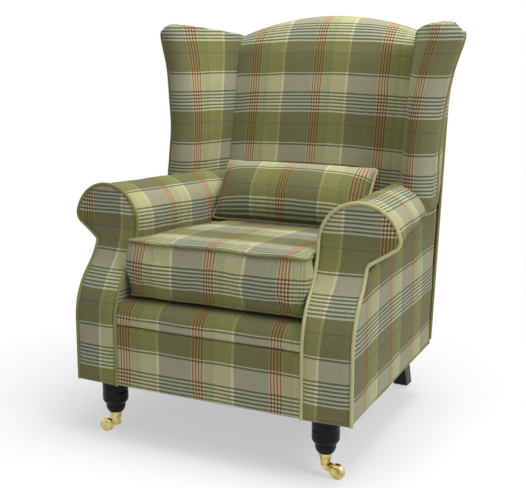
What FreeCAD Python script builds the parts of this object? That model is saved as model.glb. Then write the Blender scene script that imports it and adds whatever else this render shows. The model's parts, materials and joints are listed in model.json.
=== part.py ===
import FreeCAD, Part
import math
import os
import Sketcher

# Fireside chair: an upholstered wing armchair with scroll arms, a loose seat cushion, a loose
# lumbar cushion, turned front legs on brass castors and splayed rear legs.
# Millimetres. +Z is up, the sitter looks along -Y, +X is on the right of someone facing the chair.
# Sizes are measured from the front plane of the arm facings, and every piece is then set back by
# half the depth, so that the origin is on the floor under the middle of the chair.

doc = FreeCAD.newDocument("fireside_chair")
sheet = doc.addObject("Spreadsheet::Sheet", "sizes")
sheet.Label = "sizes"


# A number together with the spreadsheet expression that gives it
class Size:
    def __init__(self, value, text):
        self.value = value
        self.text = text

    def __add__(self, other):
        other = as_size(other)
        return Size(self.value + other.value, f"({self.text} + {other.text})")

    def __radd__(self, other):
        return as_size(other) + self

    def __sub__(self, other):
        other = as_size(other)
        return Size(self.value - other.value, f"({self.text} - {other.text})")

    def __rsub__(self, other):
        return as_size(other) - self

    def __mul__(self, other):
        other = as_size(other)
        return Size(self.value * other.value, f"({self.text} * {other.text})")

    def __rmul__(self, other):
        return as_size(other) * self

    def __truediv__(self, other):
        other = as_size(other)
        return Size(self.value / other.value, f"({self.text} / {other.text})")

    def __neg__(self):
        return as_size(0) - self


def as_size(number):
    if isinstance(number, Size):
        return number
    return Size(float(number), f"({float(number)})")


def sine(angle):
    return Size(math.sin(math.radians(angle.value)), f"sin({angle.text})")


def cosine(angle):
    return Size(math.cos(math.radians(angle.value)), f"cos({angle.text})")


def tangent(angle):
    return Size(math.tan(math.radians(angle.value)), f"tan({angle.text})")


# The driving dimensions
rows = 0


def driving(name, number):
    global rows
    rows += 1
    sheet.set(f"A{rows}", name)
    sheet.set(f"B{rows}", str(number))
    sheet.setAlias(f"B{rows}", name)
    return Size(float(number), f"<<sizes>>.{name}")


# Overall form
seat_width = driving("seat_width", 481)
arm_toe = driving("arm_toe", 3.4)
base_height = driving("base_height", 141)
back_height = driving("back_height", 1007)
back_depth = driving("back_depth", 656)
back_rake = driving("back_rake", 4.9)

# Arms: the facing leans back in an S curve and carries a scroll that narrows to the rear
arm_thickness = driving("arm_thickness", 112)
arm_height = driving("arm_height", 604.5)
arm_rear_height = driving("arm_rear_height", 592)
scroll_overhang = driving("scroll_overhang", 74)
scroll_rear_overhang = driving("scroll_rear_overhang", 15)
scroll_tip_radius = driving("scroll_tip_radius", 25)
scroll_rear_tip_radius = driving("scroll_rear_tip_radius", 12)
scroll_tip_angle = driving("scroll_tip_angle", 14)
scroll_under_angle = driving("scroll_under_angle", 58)
neck_radius = driving("neck_radius", 16)
neck_rear_radius = driving("neck_rear_radius", 10)
facing_recess = driving("facing_recess", 95)
facing_curve_low = driving("facing_curve_low", 293)
facing_curve_high = driving("facing_curve_high", 525)
facing_thickness = driving("facing_thickness", 10)
welt_width = driving("welt_width", 3)
welt_proud = driving("welt_proud", 2)
arm_pad_wall = driving("arm_pad_wall", 14)
arm_cover_thickness = driving("arm_cover_thickness", 6)
arm_cover_top = driving("arm_cover_top", 450)

# Timber frame
post_depth = driving("post_depth", 50)
arm_post_top = driving("arm_post_top", 540)
rail_thickness = driving("rail_thickness", 28)
rail_top = driving("rail_top", 282)
arm_rail_bottom = driving("arm_rail_bottom", 500)
arm_rail_width = driving("arm_rail_width", 40)
back_post_depth = driving("back_post_depth", 42)
back_post_top = driving("back_post_top", 870)
back_rail_gap = driving("back_rail_gap", 12)
stay_rail_bottom = driving("stay_rail_bottom", 396)
stay_rail_height = driving("stay_rail_height", 50)
crest_rail_bottom = driving("crest_rail_bottom", 820)
crest_cover = driving("crest_cover", 25)
block_leg = driving("block_leg", 52)
block_height = driving("block_height", 60)
lining_thickness = driving("lining_thickness", 1.5)

# Seat
border_front = driving("border_front", 6)
border_thickness = driving("border_thickness", 14)
border_top = driving("border_top", 288)
lip_top = driving("lip_top", 352)
lip_depth = driving("lip_depth", 84)
lip_nose_radius = driving("lip_nose_radius", 46)
lip_foot = driving("lip_foot", 5)
wire_diameter = driving("wire_diameter", 3.6)
wire_pitch = driving("wire_pitch", 26)
wire_swing = driving("wire_swing", 50)
wire_side = driving("wire_side", 56.5)
wire_count = driving("wire_count", 5)
clip_width = driving("clip_width", 14)
deck_clearance = driving("deck_clearance", 0.4)

# Back and wings
arch_side = driving("arch_side", 12.5)
arch_shoulder = driving("arch_shoulder", 960)
corner_inset = driving("corner_inset", 27.5)
corner_drop = driving("corner_drop", 12)
panel_thickness = driving("panel_thickness", 9)
back_foot_inset = driving("back_foot_inset", 121)
back_head_inset = driving("back_head_inset", 8)
inside_back_shoulder = driving("inside_back_shoulder", 950)
back_roll_radius = driving("back_roll_radius", 75)
strap_thickness = driving("strap_thickness", 2.4)
strap_width = driving("strap_width", 50)
strap_spacing = driving("strap_spacing", 120)
wing_low = driving("wing_low", 452)
wing_reach_low = driving("wing_reach_low", 216)
wing_reach_high = driving("wing_reach_high", 156)
wing_inset_low = driving("wing_inset_low", 56.5)
wing_inset_waist = driving("wing_inset_waist", 58.5)
wing_inset_chest = driving("wing_inset_chest", 44.5)
wing_inset_high = driving("wing_inset_high", 2.5)
wing_edge = driving("wing_edge", 74)
wing_edge_high = driving("wing_edge_high", 88)
wing_waist_height = driving("wing_waist_height", 680)
wing_chest_height = driving("wing_chest_height", 830)
wing_high = driving("wing_high", 985)
wing_top_slope = driving("wing_top_slope", 8.5)
wing_nose_radius = driving("wing_nose_radius", 48)
wing_crown_radius = driving("wing_crown_radius", 420)
wing_outer_radius = driving("wing_outer_radius", 540)
wing_post_size = driving("wing_post_size", 26)
wing_rail_height = driving("wing_rail_height", 28)
wing_post_lean = driving("wing_post_lean", 66)

# Loose cushions
cushion_front = driving("cushion_front", 44)
cushion_back_gap = driving("cushion_back_gap", 9)
cushion_bottom = driving("cushion_bottom", 353)
cushion_edge_height = driving("cushion_edge_height", 484)
cushion_crown = driving("cushion_crown", 14)
cushion_end_crown = driving("cushion_end_crown", 5)
cushion_side_gap = driving("cushion_side_gap", 0.6)
cushion_pull_in = driving("cushion_pull_in", 6)
lumbar_side_gap = driving("lumbar_side_gap", 40.5)
lumbar_tall = driving("lumbar_tall", 165)
lumbar_thickness = driving("lumbar_thickness", 150)
lumbar_tilt = driving("lumbar_tilt", 30)
lumbar_from_back = driving("lumbar_from_back", 73)
lumbar_gap = driving("lumbar_gap", 0.6)

# Legs and castors
front_leg_side = driving("front_leg_side", 37.1)
front_leg_depth = driving("front_leg_depth", 49.4)
front_leg_radius = driving("front_leg_radius", 31)
drum_bottom = driving("drum_bottom", 92)
ankle_height = driving("ankle_height", 80)
ankle_radius = driving("ankle_radius", 23.5)
groove_height = driving("groove_height", 112)
groove_depth = driving("groove_depth", 1.6)
wood_bottom = driving("wood_bottom", 58)
wood_end_radius = driving("wood_end_radius", 16.8)
cup_top_radius = driving("cup_top_radius", 15)
cup_bottom_radius = driving("cup_bottom_radius", 10.4)
cup_bottom = driving("cup_bottom", 32)
cup_wall = driving("cup_wall", 1.8)
cup_pocket = driving("cup_pocket", 12)
pivot_radius = driving("pivot_radius", 4)
pivot_clearance = driving("pivot_clearance", 0.06)
pivot_length = driving("pivot_length", 11)
castor_gap = driving("castor_gap", 0.1)
wheel_radius = driving("wheel_radius", 17.5)
wheel_width = driving("wheel_width", 14)
wheel_gap = driving("wheel_gap", 0.6)
cheek_thickness = driving("cheek_thickness", 3)
hub_radius = driving("hub_radius", 7)
axle_radius = driving("axle_radius", 2.5)
fork_gap = driving("fork_gap", 0.4)
fork_boss_height = driving("fork_boss_height", 7)
screw_radius = driving("screw_radius", 1.6)
screw_head_radius = driving("screw_head_radius", 3)
screw_length = driving("screw_length", 9)
rear_leg_side = driving("rear_leg_side", 11.5)
rear_leg_inset = driving("rear_leg_inset", 13)
rear_leg_size = driving("rear_leg_size", 42)
rear_foot_side = driving("rear_foot_side", 16)
rear_foot_reach = driving("rear_foot_reach", 55.5)
rear_foot_size = driving("rear_foot_size", 38)
glide_radius = driving("glide_radius", 12)
glide_thickness = driving("glide_thickness", 3)
bolt_radius = driving("bolt_radius", 4)
bolt_length = driving("bolt_length", 62)
bolt_in_leg = driving("bolt_in_leg", 28)
seam_gap = driving("seam_gap", 0.3)
doc.recompute()

# Sizes worked out from the driving dimensions
frame_base = base_height + lining_thickness
toe_sine = sine(arm_toe)
toe_cosine = cosine(arm_toe)
toe_slope = tangent(arm_toe)
back_slope = tangent(back_rake)
post_outer = arm_thickness - arm_cover_thickness
arm_rail_inner = post_outer - arm_rail_width
side_rail_inner = post_outer - rail_thickness
post_rear = facing_thickness + post_depth
front_rail_front = border_front + border_thickness
seat_half = seat_width / 2
arms_half = seat_half + arm_thickness
arch_half_width = seat_half + arch_side
corner_half_width = arms_half - corner_inset
inside_back_foot = back_depth - back_foot_inset
inside_back_head = back_depth - back_head_inset
wing_front_low = back_depth - wing_reach_low
wing_front_high = back_depth - wing_reach_high
wing_inner_low = arms_half - wing_inset_low
wing_inner_waist = arms_half - wing_inset_waist
wing_inner_chest = arms_half - wing_inset_chest
wing_inner_high = arms_half - wing_inset_high
wire_spacing = (seat_width - wire_side * 2) / (wire_count - 1)
cushion_depth = inside_back_foot - cushion_back_gap - cushion_front
lumbar_width = seat_width - lumbar_side_gap * 2
lumbar_centre_depth = inside_back_foot - lumbar_from_back
front_leg_across = seat_half + front_leg_side
rear_leg_across = seat_half - rear_leg_side
rear_leg_depth = back_depth - rear_leg_inset
rear_foot_across = seat_half - rear_foot_side
rear_foot_depth = back_depth + rear_foot_reach
castor_trail = wheel_radius + cup_bottom_radius + castor_gap
arch_rise = back_height - arch_shoulder
arch_radius = (arch_half_width * arch_half_width + arch_rise * arch_rise) / (arch_rise * 2)
wire_bottom = rail_top + 2.4
deck_bottom = wire_bottom + wire_diameter + deck_clearance
pad_inset = back_post_depth + strap_thickness + seam_gap
origin_setback = (back_depth + panel_thickness + (back_height - base_height) * back_slope
                  - welt_proud * toe_cosine - welt_width * toe_sine) / 2
far = 900
margin = 10


# Half width, at depth y, of the plane that lies a distance inside the arm from its inner face
def across(inset, depth):
    return seat_width / 2 + as_size(inset) / toe_cosine - as_size(depth) * toe_slope


# Depth of the raked rear plane of the frame at a height, less an inset
def rear_plane(height, inset):
    return back_depth - inset + (height - base_height) * back_slope


# The same plane measured along an arm, at a distance across the arm
def arm_rear_plane(height, inset, across_arm):
    return (rear_plane(height, inset) - across_arm * toe_sine) / toe_cosine


# Depth of the inside back's front face at a height
def inside_back_front(height):
    lean = (inside_back_head - inside_back_foot) / (inside_back_shoulder - lip_top)
    return inside_back_foot + (height - lip_top) * lean


def bind(thing, path, size):
    thing.setExpression(path, as_size(size).text)


def origin_plane(body, role):
    return next(item for item in body.Origin.OriginFeatures if item.Role == role)


# Sets a piece back to the chair's origin; an arm's own pieces also stand at its toe angle
def place(thing, side=0, x=0.0, y=0.0, z=0.0):
    thing.Placement = FreeCAD.Placement(FreeCAD.Vector(0, 0, 0), FreeCAD.Rotation(FreeCAD.Vector(0, 0, 1), side))
    if side:
        bind(thing, "Placement.Rotation.Angle", arm_toe * side)
        x = seat_width * side / 2
    bind(thing, "Placement.Base.x", x)
    bind(thing, "Placement.Base.y", as_size(y) - origin_setback)
    bind(thing, "Placement.Base.z", z)


# A closed sketch: corners joined by lines, or by arcs where arcs gives an edge a radius and a turn
def outline(body, plane, offset, corners, arcs=None):
    arcs = arcs or {}
    sketch = body.newObject("Sketcher::SketchObject", "outline")
    sketch.AttachmentSupport = [(origin_plane(body, plane), "")]
    sketch.MapMode = "FlatFace"
    bind(sketch, "AttachmentOffset.Base.z", offset)
    corners = [(as_size(a), as_size(b)) for a, b in corners]
    starts, ends = [], []
    for edge, (a, b) in enumerate(corners):
        c, d = corners[(edge + 1) % len(corners)]
        first = FreeCAD.Vector(a.value, b.value, 0)
        last = FreeCAD.Vector(c.value, d.value, 0)
        if edge not in arcs:
            sketch.addGeometry(Part.LineSegment(first, last), False)
            starts.append(1)
            ends.append(2)
            continue
        radius, turn = arcs[edge]
        chord = last - first
        half = chord.Length / 2
        left = FreeCAD.Vector(-chord.y, chord.x, 0).normalize()
        centre = (first + last) * 0.5 + left * (turn * math.sqrt(as_size(radius).value ** 2 - half ** 2))
        circle = Part.Circle(centre, FreeCAD.Vector(0, 0, 1), as_size(radius).value)
        one, two = (first, last) if turn > 0 else (last, first)
        low = math.atan2(one.y - centre.y, one.x - centre.x)
        high = math.atan2(two.y - centre.y, two.x - centre.x)
        if high < low:
            high += 2 * math.pi
        sketch.addGeometry(Part.ArcOfCircle(circle, low, high), False)
        starts.append(1 if turn > 0 else 2)
        ends.append(2 if turn > 0 else 1)
    for edge, (a, b) in enumerate(corners):
        before = edge - 1 if edge else len(corners) - 1
        sketch.addConstraint(Sketcher.Constraint("Coincident", before, ends[before], edge, starts[edge]))
        for kind, size in (("DistanceX", a), ("DistanceY", b)):
            index = sketch.addConstraint(Sketcher.Constraint(kind, -1, 1, edge, starts[edge], size.value))
            sketch.setExpression(f"Constraints[{index}]", size.text)
    for edge, (radius, turn) in arcs.items():
        index = sketch.addConstraint(Sketcher.Constraint("Radius", edge, as_size(radius).value))
        sketch.setExpression(f"Constraints[{index}]", as_size(radius).text)
    return sketch


def new_body(label):
    body = doc.addObject("PartDesign::Body", label)
    body.Label = label
    return body


# A straight prism from start to start + length along the plane's upward, rightward or rearward axis
def prism(label, plane, start, length, corners, arcs=None, side=0):
    body = new_body(label)
    backward = plane == "XZ_Plane"
    offset = -as_size(start) if backward else start
    sketch = outline(body, plane, offset, corners, arcs)
    feature = body.newObject("PartDesign::Pad", "pad")
    feature.Profile = sketch
    feature.Reversed = backward
    bind(feature, "Length", length)
    place(body, side)
    return body


# A prism across one arm, between two distances from its inner face
def across_arm(label, side, inner, outer, corners, arcs=None):
    start = inner if side > 0 else -as_size(outer)
    return prism(label, "YZ_Plane", start, as_size(outer) - inner, corners, arcs, side)


# A loft through outlines on parallel planes, each given as offset, corners and arcs
def loft(label, plane, sections, side=0, ruled=False):
    body = new_body(label)
    sketches = [outline(body, plane, offset, corners, arcs) for offset, corners, arcs in sections]
    feature = body.newObject("PartDesign::AdditiveLoft", "loft")
    feature.Profile = sketches[0]
    feature.Sections = sketches[1:]
    feature.Ruled = ruled
    place(body, side)
    return body


def common(label, *shapes):
    piece = doc.addObject("Part::MultiCommon", label)
    piece.Label = label
    piece.Shapes = list(shapes)
    return piece


def cut(label, base, *tools):
    tool = tools[0]
    if len(tools) > 1:
        tool = doc.addObject("Part::MultiFuse", label + "_tools")
        tool.Shapes = list(tools)
    piece = doc.addObject("Part::Cut", label)
    piece.Label = label
    piece.Base = base
    piece.Tool = tool
    return piece


def group(label, *pieces):
    whole = doc.addObject("Part::Compound", label)
    whole.Label = label
    whole.Links = list(pieces)
    return whole


def mirrored(points, arcs, side):
    return [(as_size(a) * side, b) for a, b in points], {edge: (r, turn * side) for edge, (r, turn) in arcs.items()}


# Outline of an arm's cross section, grown or shrunk by the welt where asked
def arm_section(side, overhang, top, tip_radius, neck, grow):
    half = (arm_thickness + overhang) / 2
    crown = top - half
    tip_cosine, tip_sine = cosine(scroll_tip_angle), sine(scroll_tip_angle)
    under_cosine, under_sine = cosine(scroll_under_angle), sine(scroll_under_angle)
    tip_x = half + (half - tip_radius) * tip_cosine
    tip_z = crown + (half - tip_radius) * tip_sine
    neck_x = arm_thickness + neck
    under_x = tip_x + tip_radius * under_cosine
    under_z = tip_z - tip_radius * under_sine
    neck_z = under_z - (neck - (neck_x - under_x) * under_cosine) / under_sine
    low = base_height - grow
    points = [
        (-as_size(grow), low),
        (-as_size(grow), crown),
        (half, top + grow),
        (half + (half + grow) * tip_cosine, crown + (half + grow) * tip_sine),
        (tip_x + (tip_radius + grow) * under_cosine, tip_z - (tip_radius + grow) * under_sine),
        (neck_x - (neck - grow) * under_cosine, neck_z + (neck - grow) * under_sine),
        (arm_thickness + grow, neck_z),
        (arm_thickness + grow, low),
    ]
    arcs = {1: (half + grow, -1), 2: (half + grow, -1), 3: (tip_radius + grow, -1), 5: (neck - grow, 1)}
    return mirrored(points, arcs, side)


# The whole arm as a loft from the front to behind the back frame
def arm_form(label, side, grow=0.0):
    length = back_depth + 64
    front = arm_section(side, scroll_overhang + 8, arm_height, scroll_tip_radius, neck_radius, grow)
    rear = arm_section(side, scroll_rear_overhang, arm_rear_height, scroll_rear_tip_radius, neck_rear_radius, grow)
    return loft(label, "XZ_Plane", [(10, *front), (-length, *rear)], side)


# The S curve of the facing, as points going up, moved back by a distance
def facing_curve(back, low, high):
    run = facing_curve_high - facing_curve_low
    lean = facing_recess / run
    radius = run * (lean * lean + 1) / (lean * 4)
    points = [
        (as_size(back), low),
        (as_size(back), facing_curve_low),
        (facing_recess / 2 + back, (facing_curve_low + facing_curve_high) / 2),
        (facing_recess + back, facing_curve_high),
        (facing_recess + back, high),
    ]
    return points, {1: (radius, -1), 2: (radius, 1)}


# A band of constant depth behind the facing's S curve
def facing_band(front, back, low, high):
    points, arcs = facing_curve(front, low, high)
    behind, _ = facing_curve(back, low, high)
    radius = arcs[1][0]
    points += behind[::-1]
    arcs.update({6: (radius, -1), 7: (radius, 1)})
    return points, arcs


def back_outline(inset, low, low_half_width):
    half = arch_half_width
    return [
        (-as_size(low_half_width), low),
        (low_half_width, low),
        (corner_half_width, arch_shoulder - corner_drop - inset),
        (half, arch_shoulder - inset),
        (-half, arch_shoulder - inset),
        (-corner_half_width, arch_shoulder - corner_drop - inset),
    ], {3: (arch_radius, 1)}


# A trapezium in plan that fits between two planes set inside the arms
def between(label, inset, front, rear, low, high, gap=0.0):
    corners = [
        (-(across(inset, front) - gap), front),
        (across(inset, front) - gap, front),
        (across(inset, rear) - gap, rear),
        (-(across(inset, rear) - gap), rear),
    ]
    return prism(label, "XY_Plane", low, as_size(high) - low, corners)


def rake_band(front_inset, rear_inset, low, high):
    return [
        (rear_plane(low, front_inset), low),
        (rear_plane(low, rear_inset), low),
        (rear_plane(high, rear_inset), high),
        (rear_plane(high, front_inset), high),
    ]


sides = (("left", -1), ("right", 1))
parts = []

# Cross rails of the frame
post_span = between("back_span", arm_rail_inner, 480, 860, 100, back_height + margin * 2)
front_rail = between("front_rail", arm_pad_wall, front_rail_front, front_rail_front + rail_thickness,
                     frame_base, rail_top)
rear_rail_blank = prism("rear_rail_blank", "YZ_Plane", -300, 600,
                        rake_band(back_post_depth, back_rail_gap, frame_base, rail_top))
stay_rail_blank = prism("stay_rail_blank", "YZ_Plane", -300, 600,
                        rake_band(back_post_depth, back_rail_gap, stay_rail_bottom, stay_rail_bottom + stay_rail_height))
crest_rail_blank = prism("crest_rail_blank", "YZ_Plane", -300, 600,
                         rake_band(back_post_depth, back_rail_gap, crest_rail_bottom, back_height))
crest_points, crest_arcs = back_outline(crest_cover, stay_rail_bottom, corner_half_width)
crest_arch = prism("crest_arch", "XZ_Plane", 300, 700, crest_points, crest_arcs)
rear_rail_solid = common("rear_rail_solid", rear_rail_blank, post_span)
stay_rail = common("stay_rail", stay_rail_blank, post_span)
crest_rail = common("crest_rail", crest_rail_blank, post_span, crest_arch)

# Bolts that hold the legs to the frame
bolts = []
for name, side in sides:
    for x, y in ((front_leg_across, front_leg_depth), (rear_leg_across, rear_leg_depth - 8)):
        bolt = doc.addObject("Part::Cylinder", f"bolt_{name}")
        bind(bolt, "Radius", bolt_radius)
        bind(bolt, "Height", bolt_length)
        place(bolt, 0, x * side, y, frame_base - bolt_in_leg)
        bolts.append(bolt)
leg_bolts = group("leg_bolts", *bolts)
rear_rail = cut("rear_rail", rear_rail_solid, leg_bolts)

# Arm frames, back posts and wing frames
blocks = []
frames = {}
for name, side in sides:
    low_post, low_arcs = facing_band(facing_thickness, post_rear, frame_base, arm_post_top)
    post_blank = across_arm(f"arm_post_blank_{name}", side, arm_pad_wall, post_outer, low_post, low_arcs)
    arm_post = cut(f"arm_post_{name}", post_blank, leg_bolts)
    back_post = across_arm(f"back_post_{name}", side, arm_rail_inner, post_outer, [
        (arm_rear_plane(frame_base, back_post_depth, post_outer), frame_base),
        (arm_rear_plane(frame_base, seam_gap, post_outer), frame_base),
        (arm_rear_plane(back_post_top, seam_gap, post_outer), back_post_top),
        (arm_rear_plane(back_post_top, back_post_depth, post_outer), back_post_top),
    ])
    side_rail = across_arm(f"side_rail_{name}", side, side_rail_inner, post_outer, [
        (post_rear, frame_base),
        (arm_rear_plane(frame_base, back_post_depth, post_outer), frame_base),
        (arm_rear_plane(rail_top, back_post_depth, post_outer), rail_top),
        (post_rear, rail_top),
    ])
    rail_blank = across_arm(f"arm_rail_blank_{name}", side, arm_rail_inner, post_outer, [
        (facing_recess + facing_thickness + post_depth / 2, arm_rail_bottom),
        (arm_rear_plane(arm_rail_bottom, back_post_depth, post_outer), arm_rail_bottom),
        (arm_rear_plane(arm_post_top, back_post_depth, post_outer), arm_post_top),
        (facing_recess + facing_thickness + post_depth / 2, arm_post_top),
    ])
    arm_rail = cut(f"arm_rail_{name}", rail_blank, arm_post)
    for end, depth, toward in (("front", post_rear, 1), ("rear", None, -1)):
        start = depth if depth else arm_rear_plane(frame_base + block_height, back_post_depth, post_outer)
        corner = [(side_rail_inner, start), (side_rail_inner - block_leg, start),
                  (side_rail_inner, start + block_leg * toward)]
        turned = [(as_size(a) * side, b) for a, b in corner]
        block = prism(f"block_{end}_{name}", "XY_Plane", frame_base, block_height, turned, None, side)
        if end == "rear":
            block = cut(f"rear_block_{name}", block, back_post, rear_rail)
        blocks.append(block)
    post_foot = wing_post_size / 2
    foot_x, foot_y = post_outer - arm_rail_width / 2, wing_front_low + 50
    head_x, head_y = foot_x + wing_post_lean, foot_y + 12
    square = [(-post_foot, -post_foot), (post_foot, -post_foot), (post_foot, post_foot), (-post_foot, post_foot)]
    lean = [
        (arm_post_top, [((foot_x + a) * side, foot_y + b) for a, b in square], {}),
        (back_post_top, [((head_x + a) * side, head_y + b) for a, b in square], {}),
    ]
    wing_post = loft(f"wing_post_{name}", "XY_Plane", lean, side)
    back_foot = arm_rear_plane(back_post_top, back_post_depth, post_outer)
    rail_plan = [
        (head_x - post_foot, head_y - post_foot),
        (head_x + post_foot, head_y - post_foot),
        (post_outer - 4, back_foot + wing_post_size),
        (arm_rail_inner + 8, back_foot + wing_post_size),
    ]
    wing_rail = prism(f"wing_rail_{name}", "XY_Plane", back_post_top, wing_rail_height,
                      [(a * side, b) for a, b in rail_plan], None, side)
    frames[name] = (arm_post, back_post, side_rail, arm_rail, wing_post, wing_rail)
    parts += list(frames[name])
corner_blocks = group("corner_blocks", *blocks)
parts += [front_rail, rear_rail, stay_rail, crest_rail, corner_blocks, leg_bolts]


# Wings: a flared pad whose front edge leans back and opens outward as it rises
def wing_section(side, height, inner, edge):
    lean = (wing_front_high - wing_front_low) / (wing_high - wing_low)
    front = wing_front_low + (height - wing_low) * lean
    points = [
        (inner, front),
        (inner + edge, front),
        (corner_half_width - (corner_half_width - across(arm_thickness, back_depth))
         * (arch_shoulder - height) / (arch_shoulder - wing_low), rear_plane(height, seam_gap)),
        (arch_half_width, rear_plane(height, seam_gap)),
        (arch_half_width, inside_back_front(height)),
    ]
    arcs = {0: (wing_nose_radius, 1), 1: (wing_outer_radius, 1), 4: (wing_crown_radius, 1)}
    corners, arcs = mirrored(points, arcs, side)
    return height, corners, arcs


wing_forms = {}
for name, side in sides:
    wing_forms[name] = loft(f"wing_form_{name}", "XY_Plane", [
        wing_section(side, wing_low, wing_inner_low, wing_edge),
        wing_section(side, wing_waist_height, wing_inner_waist, wing_edge),
        wing_section(side, wing_chest_height, wing_inner_chest, wing_edge),
        wing_section(side, wing_high + 30, wing_inner_high + 22, wing_edge_high),
    ])

# Top edge of the wings: it rises toward the front, from the back's shoulder
junction = inside_back_front(arch_shoulder)
top_slope = tangent(wing_top_slope)
wing_side_view = [
    (300, wing_low),
    (far, wing_low),
    (far, arch_shoulder - (far - junction) * top_slope),
    (300, arch_shoulder + (junction - 300) * top_slope),
]
wing_limits = prism("wing_limits", "YZ_Plane", -500, 1000, wing_side_view)

# Upholstery of the arms
arm_forms = {}
pipings = []
for name, side in sides:
    arm_post, back_post, side_rail, arm_rail, wing_post, wing_rail = frames[name]
    form = arm_form(f"arm_form_{name}", side)
    arm_forms[name] = form
    reach_in, reach_out = -20, arm_thickness + scroll_overhang + 40
    curve, curve_arcs = facing_curve(facing_thickness, deck_bottom, arm_height + margin)
    scroll_width = arm_thickness + scroll_overhang
    pad_view = curve + [
        (arm_rear_plane(arm_height + margin, pad_inset, scroll_width), arm_height + margin),
        (arm_rear_plane(deck_bottom, pad_inset, scroll_width), deck_bottom),
    ]
    pad_region = across_arm(f"pad_region_{name}", side, reach_in, reach_out, pad_view, curve_arcs)
    hollow = across_arm(f"hollow_{name}", side, arm_pad_wall, reach_out + margin, [
        (-30, base_height - margin), (far, base_height - margin), (far, arm_cover_top), (-30, arm_cover_top)])
    pad_block = common(f"arm_pad_block_{name}", form, pad_region)
    arm_pad = cut(f"arm_pad_{name}", pad_block, hollow, arm_post, arm_rail, wing_post, wing_forms[name])
    cover_curve, cover_arcs = facing_curve(facing_thickness, base_height, arm_height + margin)
    cover_view = cover_curve + [
        (arm_rear_plane(arm_height + margin, seam_gap, arm_thickness), arm_height + margin),
        (arm_rear_plane(base_height, seam_gap, arm_thickness), base_height),
    ]
    cover_region = across_arm(f"cover_region_{name}", side, post_outer, reach_out, cover_view, cover_arcs)
    cover_slab = across_arm(f"cover_slab_{name}", side, post_outer, reach_out, [
        (-30, base_height), (far, base_height), (far, arm_cover_top), (-30, arm_cover_top)])
    cover_blank = common(f"outside_arm_blank_{name}", form, cover_region, cover_slab)
    outside_arm = cut(f"outside_arm_{name}", cover_blank, arm_post)
    inner_form = arm_form(f"arm_form_inner_{name}", side, -welt_width)
    outer_form = arm_form(f"arm_form_outer_{name}", side, welt_width)
    band, band_arcs = facing_band(0.0, facing_thickness, base_height, arm_height + margin)
    facing_region = across_arm(f"facing_region_{name}", side, reach_in, reach_out, band, band_arcs)
    arm_facing = common(f"arm_facing_{name}", inner_form, facing_region)
    band, band_arcs = facing_band(-welt_proud, facing_thickness, base_height, arm_height + margin)
    welt_region = across_arm(f"welt_region_{name}", side, reach_in, reach_out, band, band_arcs)
    welt_blank = common(f"arm_piping_blank_{name}", outer_form, welt_region)
    arm_piping = cut(f"arm_piping_{name}", welt_blank, inner_form)
    pipings.append(arm_piping)
    wing_block = common(f"wing_block_{name}", wing_forms[name], wing_limits)
    wing_pad = cut(f"wing_pad_{name}", wing_block, back_post, arm_rail, wing_post, wing_rail, crest_rail)
    parts += [arm_pad, outside_arm, arm_facing, arm_piping, wing_pad]

# Inside back pad: it leans on the webbing and rolls over the crest rail
head = as_size(inside_back_shoulder)
roll_top = back_height + margin
back_view = [
    (inside_back_front(lip_top), lip_top),
    (rear_plane(lip_top, seam_gap), lip_top),
    (rear_plane(roll_top, seam_gap), roll_top),
    (inside_back_front(head) + back_roll_radius * 0.8, roll_top),
    (inside_back_front(head), head),
]
back_block = prism("back_block", "YZ_Plane", -arch_half_width, arch_half_width * 2, back_view,
                   {3: (back_roll_radius, 1)})
arch_points, arch_arcs = back_outline(0.0, 200, corner_half_width)
back_arch = prism("back_arch", "XZ_Plane", 300, 700, arch_points, arch_arcs)
back_form = common("back_form", back_block, back_arch)
frame_zone_blank = prism("frame_zone_blank", "YZ_Plane", -400, 800, rake_band(pad_inset, -2, 300, roll_top))
frame_arch = prism("frame_arch", "XZ_Plane", 300, 700, *back_outline(crest_cover, 250, corner_half_width))
frame_zone = common("frame_zone", frame_zone_blank, frame_arch)
inside_back = cut("inside_back", back_form, frame_zone, *arm_forms.values(), *wing_forms.values())

# Outside back panel
panel_blank = prism("panel_blank", "YZ_Plane", -400, 800, rake_band(0.0, -panel_thickness, frame_base, roll_top))
panel_points, panel_arcs = back_outline(0.0, frame_base, across(arm_thickness, back_depth))
panel_arch = prism("panel_arch", "XZ_Plane", 300, 700, panel_points, panel_arcs)
outside_back = common("outside_back", panel_blank, panel_arch)

# Webbing straps between the stay rail and the crest rail
straps = []
strap_low = stay_rail_bottom + 6
for place_across in (-1.5, -0.5, 0.5, 1.5):
    start = strap_spacing * place_across - strap_width / 2
    straps.append(prism("strap", "YZ_Plane", start, strap_width,
                        rake_band(back_post_depth + strap_thickness, back_post_depth,
                                  strap_low, crest_rail_bottom + 60)))
back_webbing = group("back_webbing", *straps)
parts += [inside_back, outside_back, back_webbing]

# Front border, seat lip and deck
border_rear = border_front + border_thickness
border_blank = between("border_blank", 0, border_front, border_rear, base_height, border_top)
front_border = cut("front_border", border_blank, *pipings)
lip_shelf = deck_bottom
lip_front = border_front + lip_depth
lip_view = [
    (border_rear, rail_top),
    (border_rear, border_top),
    (border_front, border_top + 2),
    (border_front + 26, lip_top),
    (lip_front, lip_top),
    (lip_front, lip_shelf),
    (border_rear + lip_foot, lip_shelf),
    (border_rear + lip_foot, rail_top),
]
lip_blank = prism("lip_blank", "YZ_Plane", -300, 600, lip_view, {2: (lip_nose_radius, -1)})
lip_span = between("lip_span", 0, -20, lip_front + 20, 200, 400)
deck_rear = back_depth - pad_inset
seat_deck = between("seat_deck", 0, lip_front, deck_rear, deck_bottom, lip_top)

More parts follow.
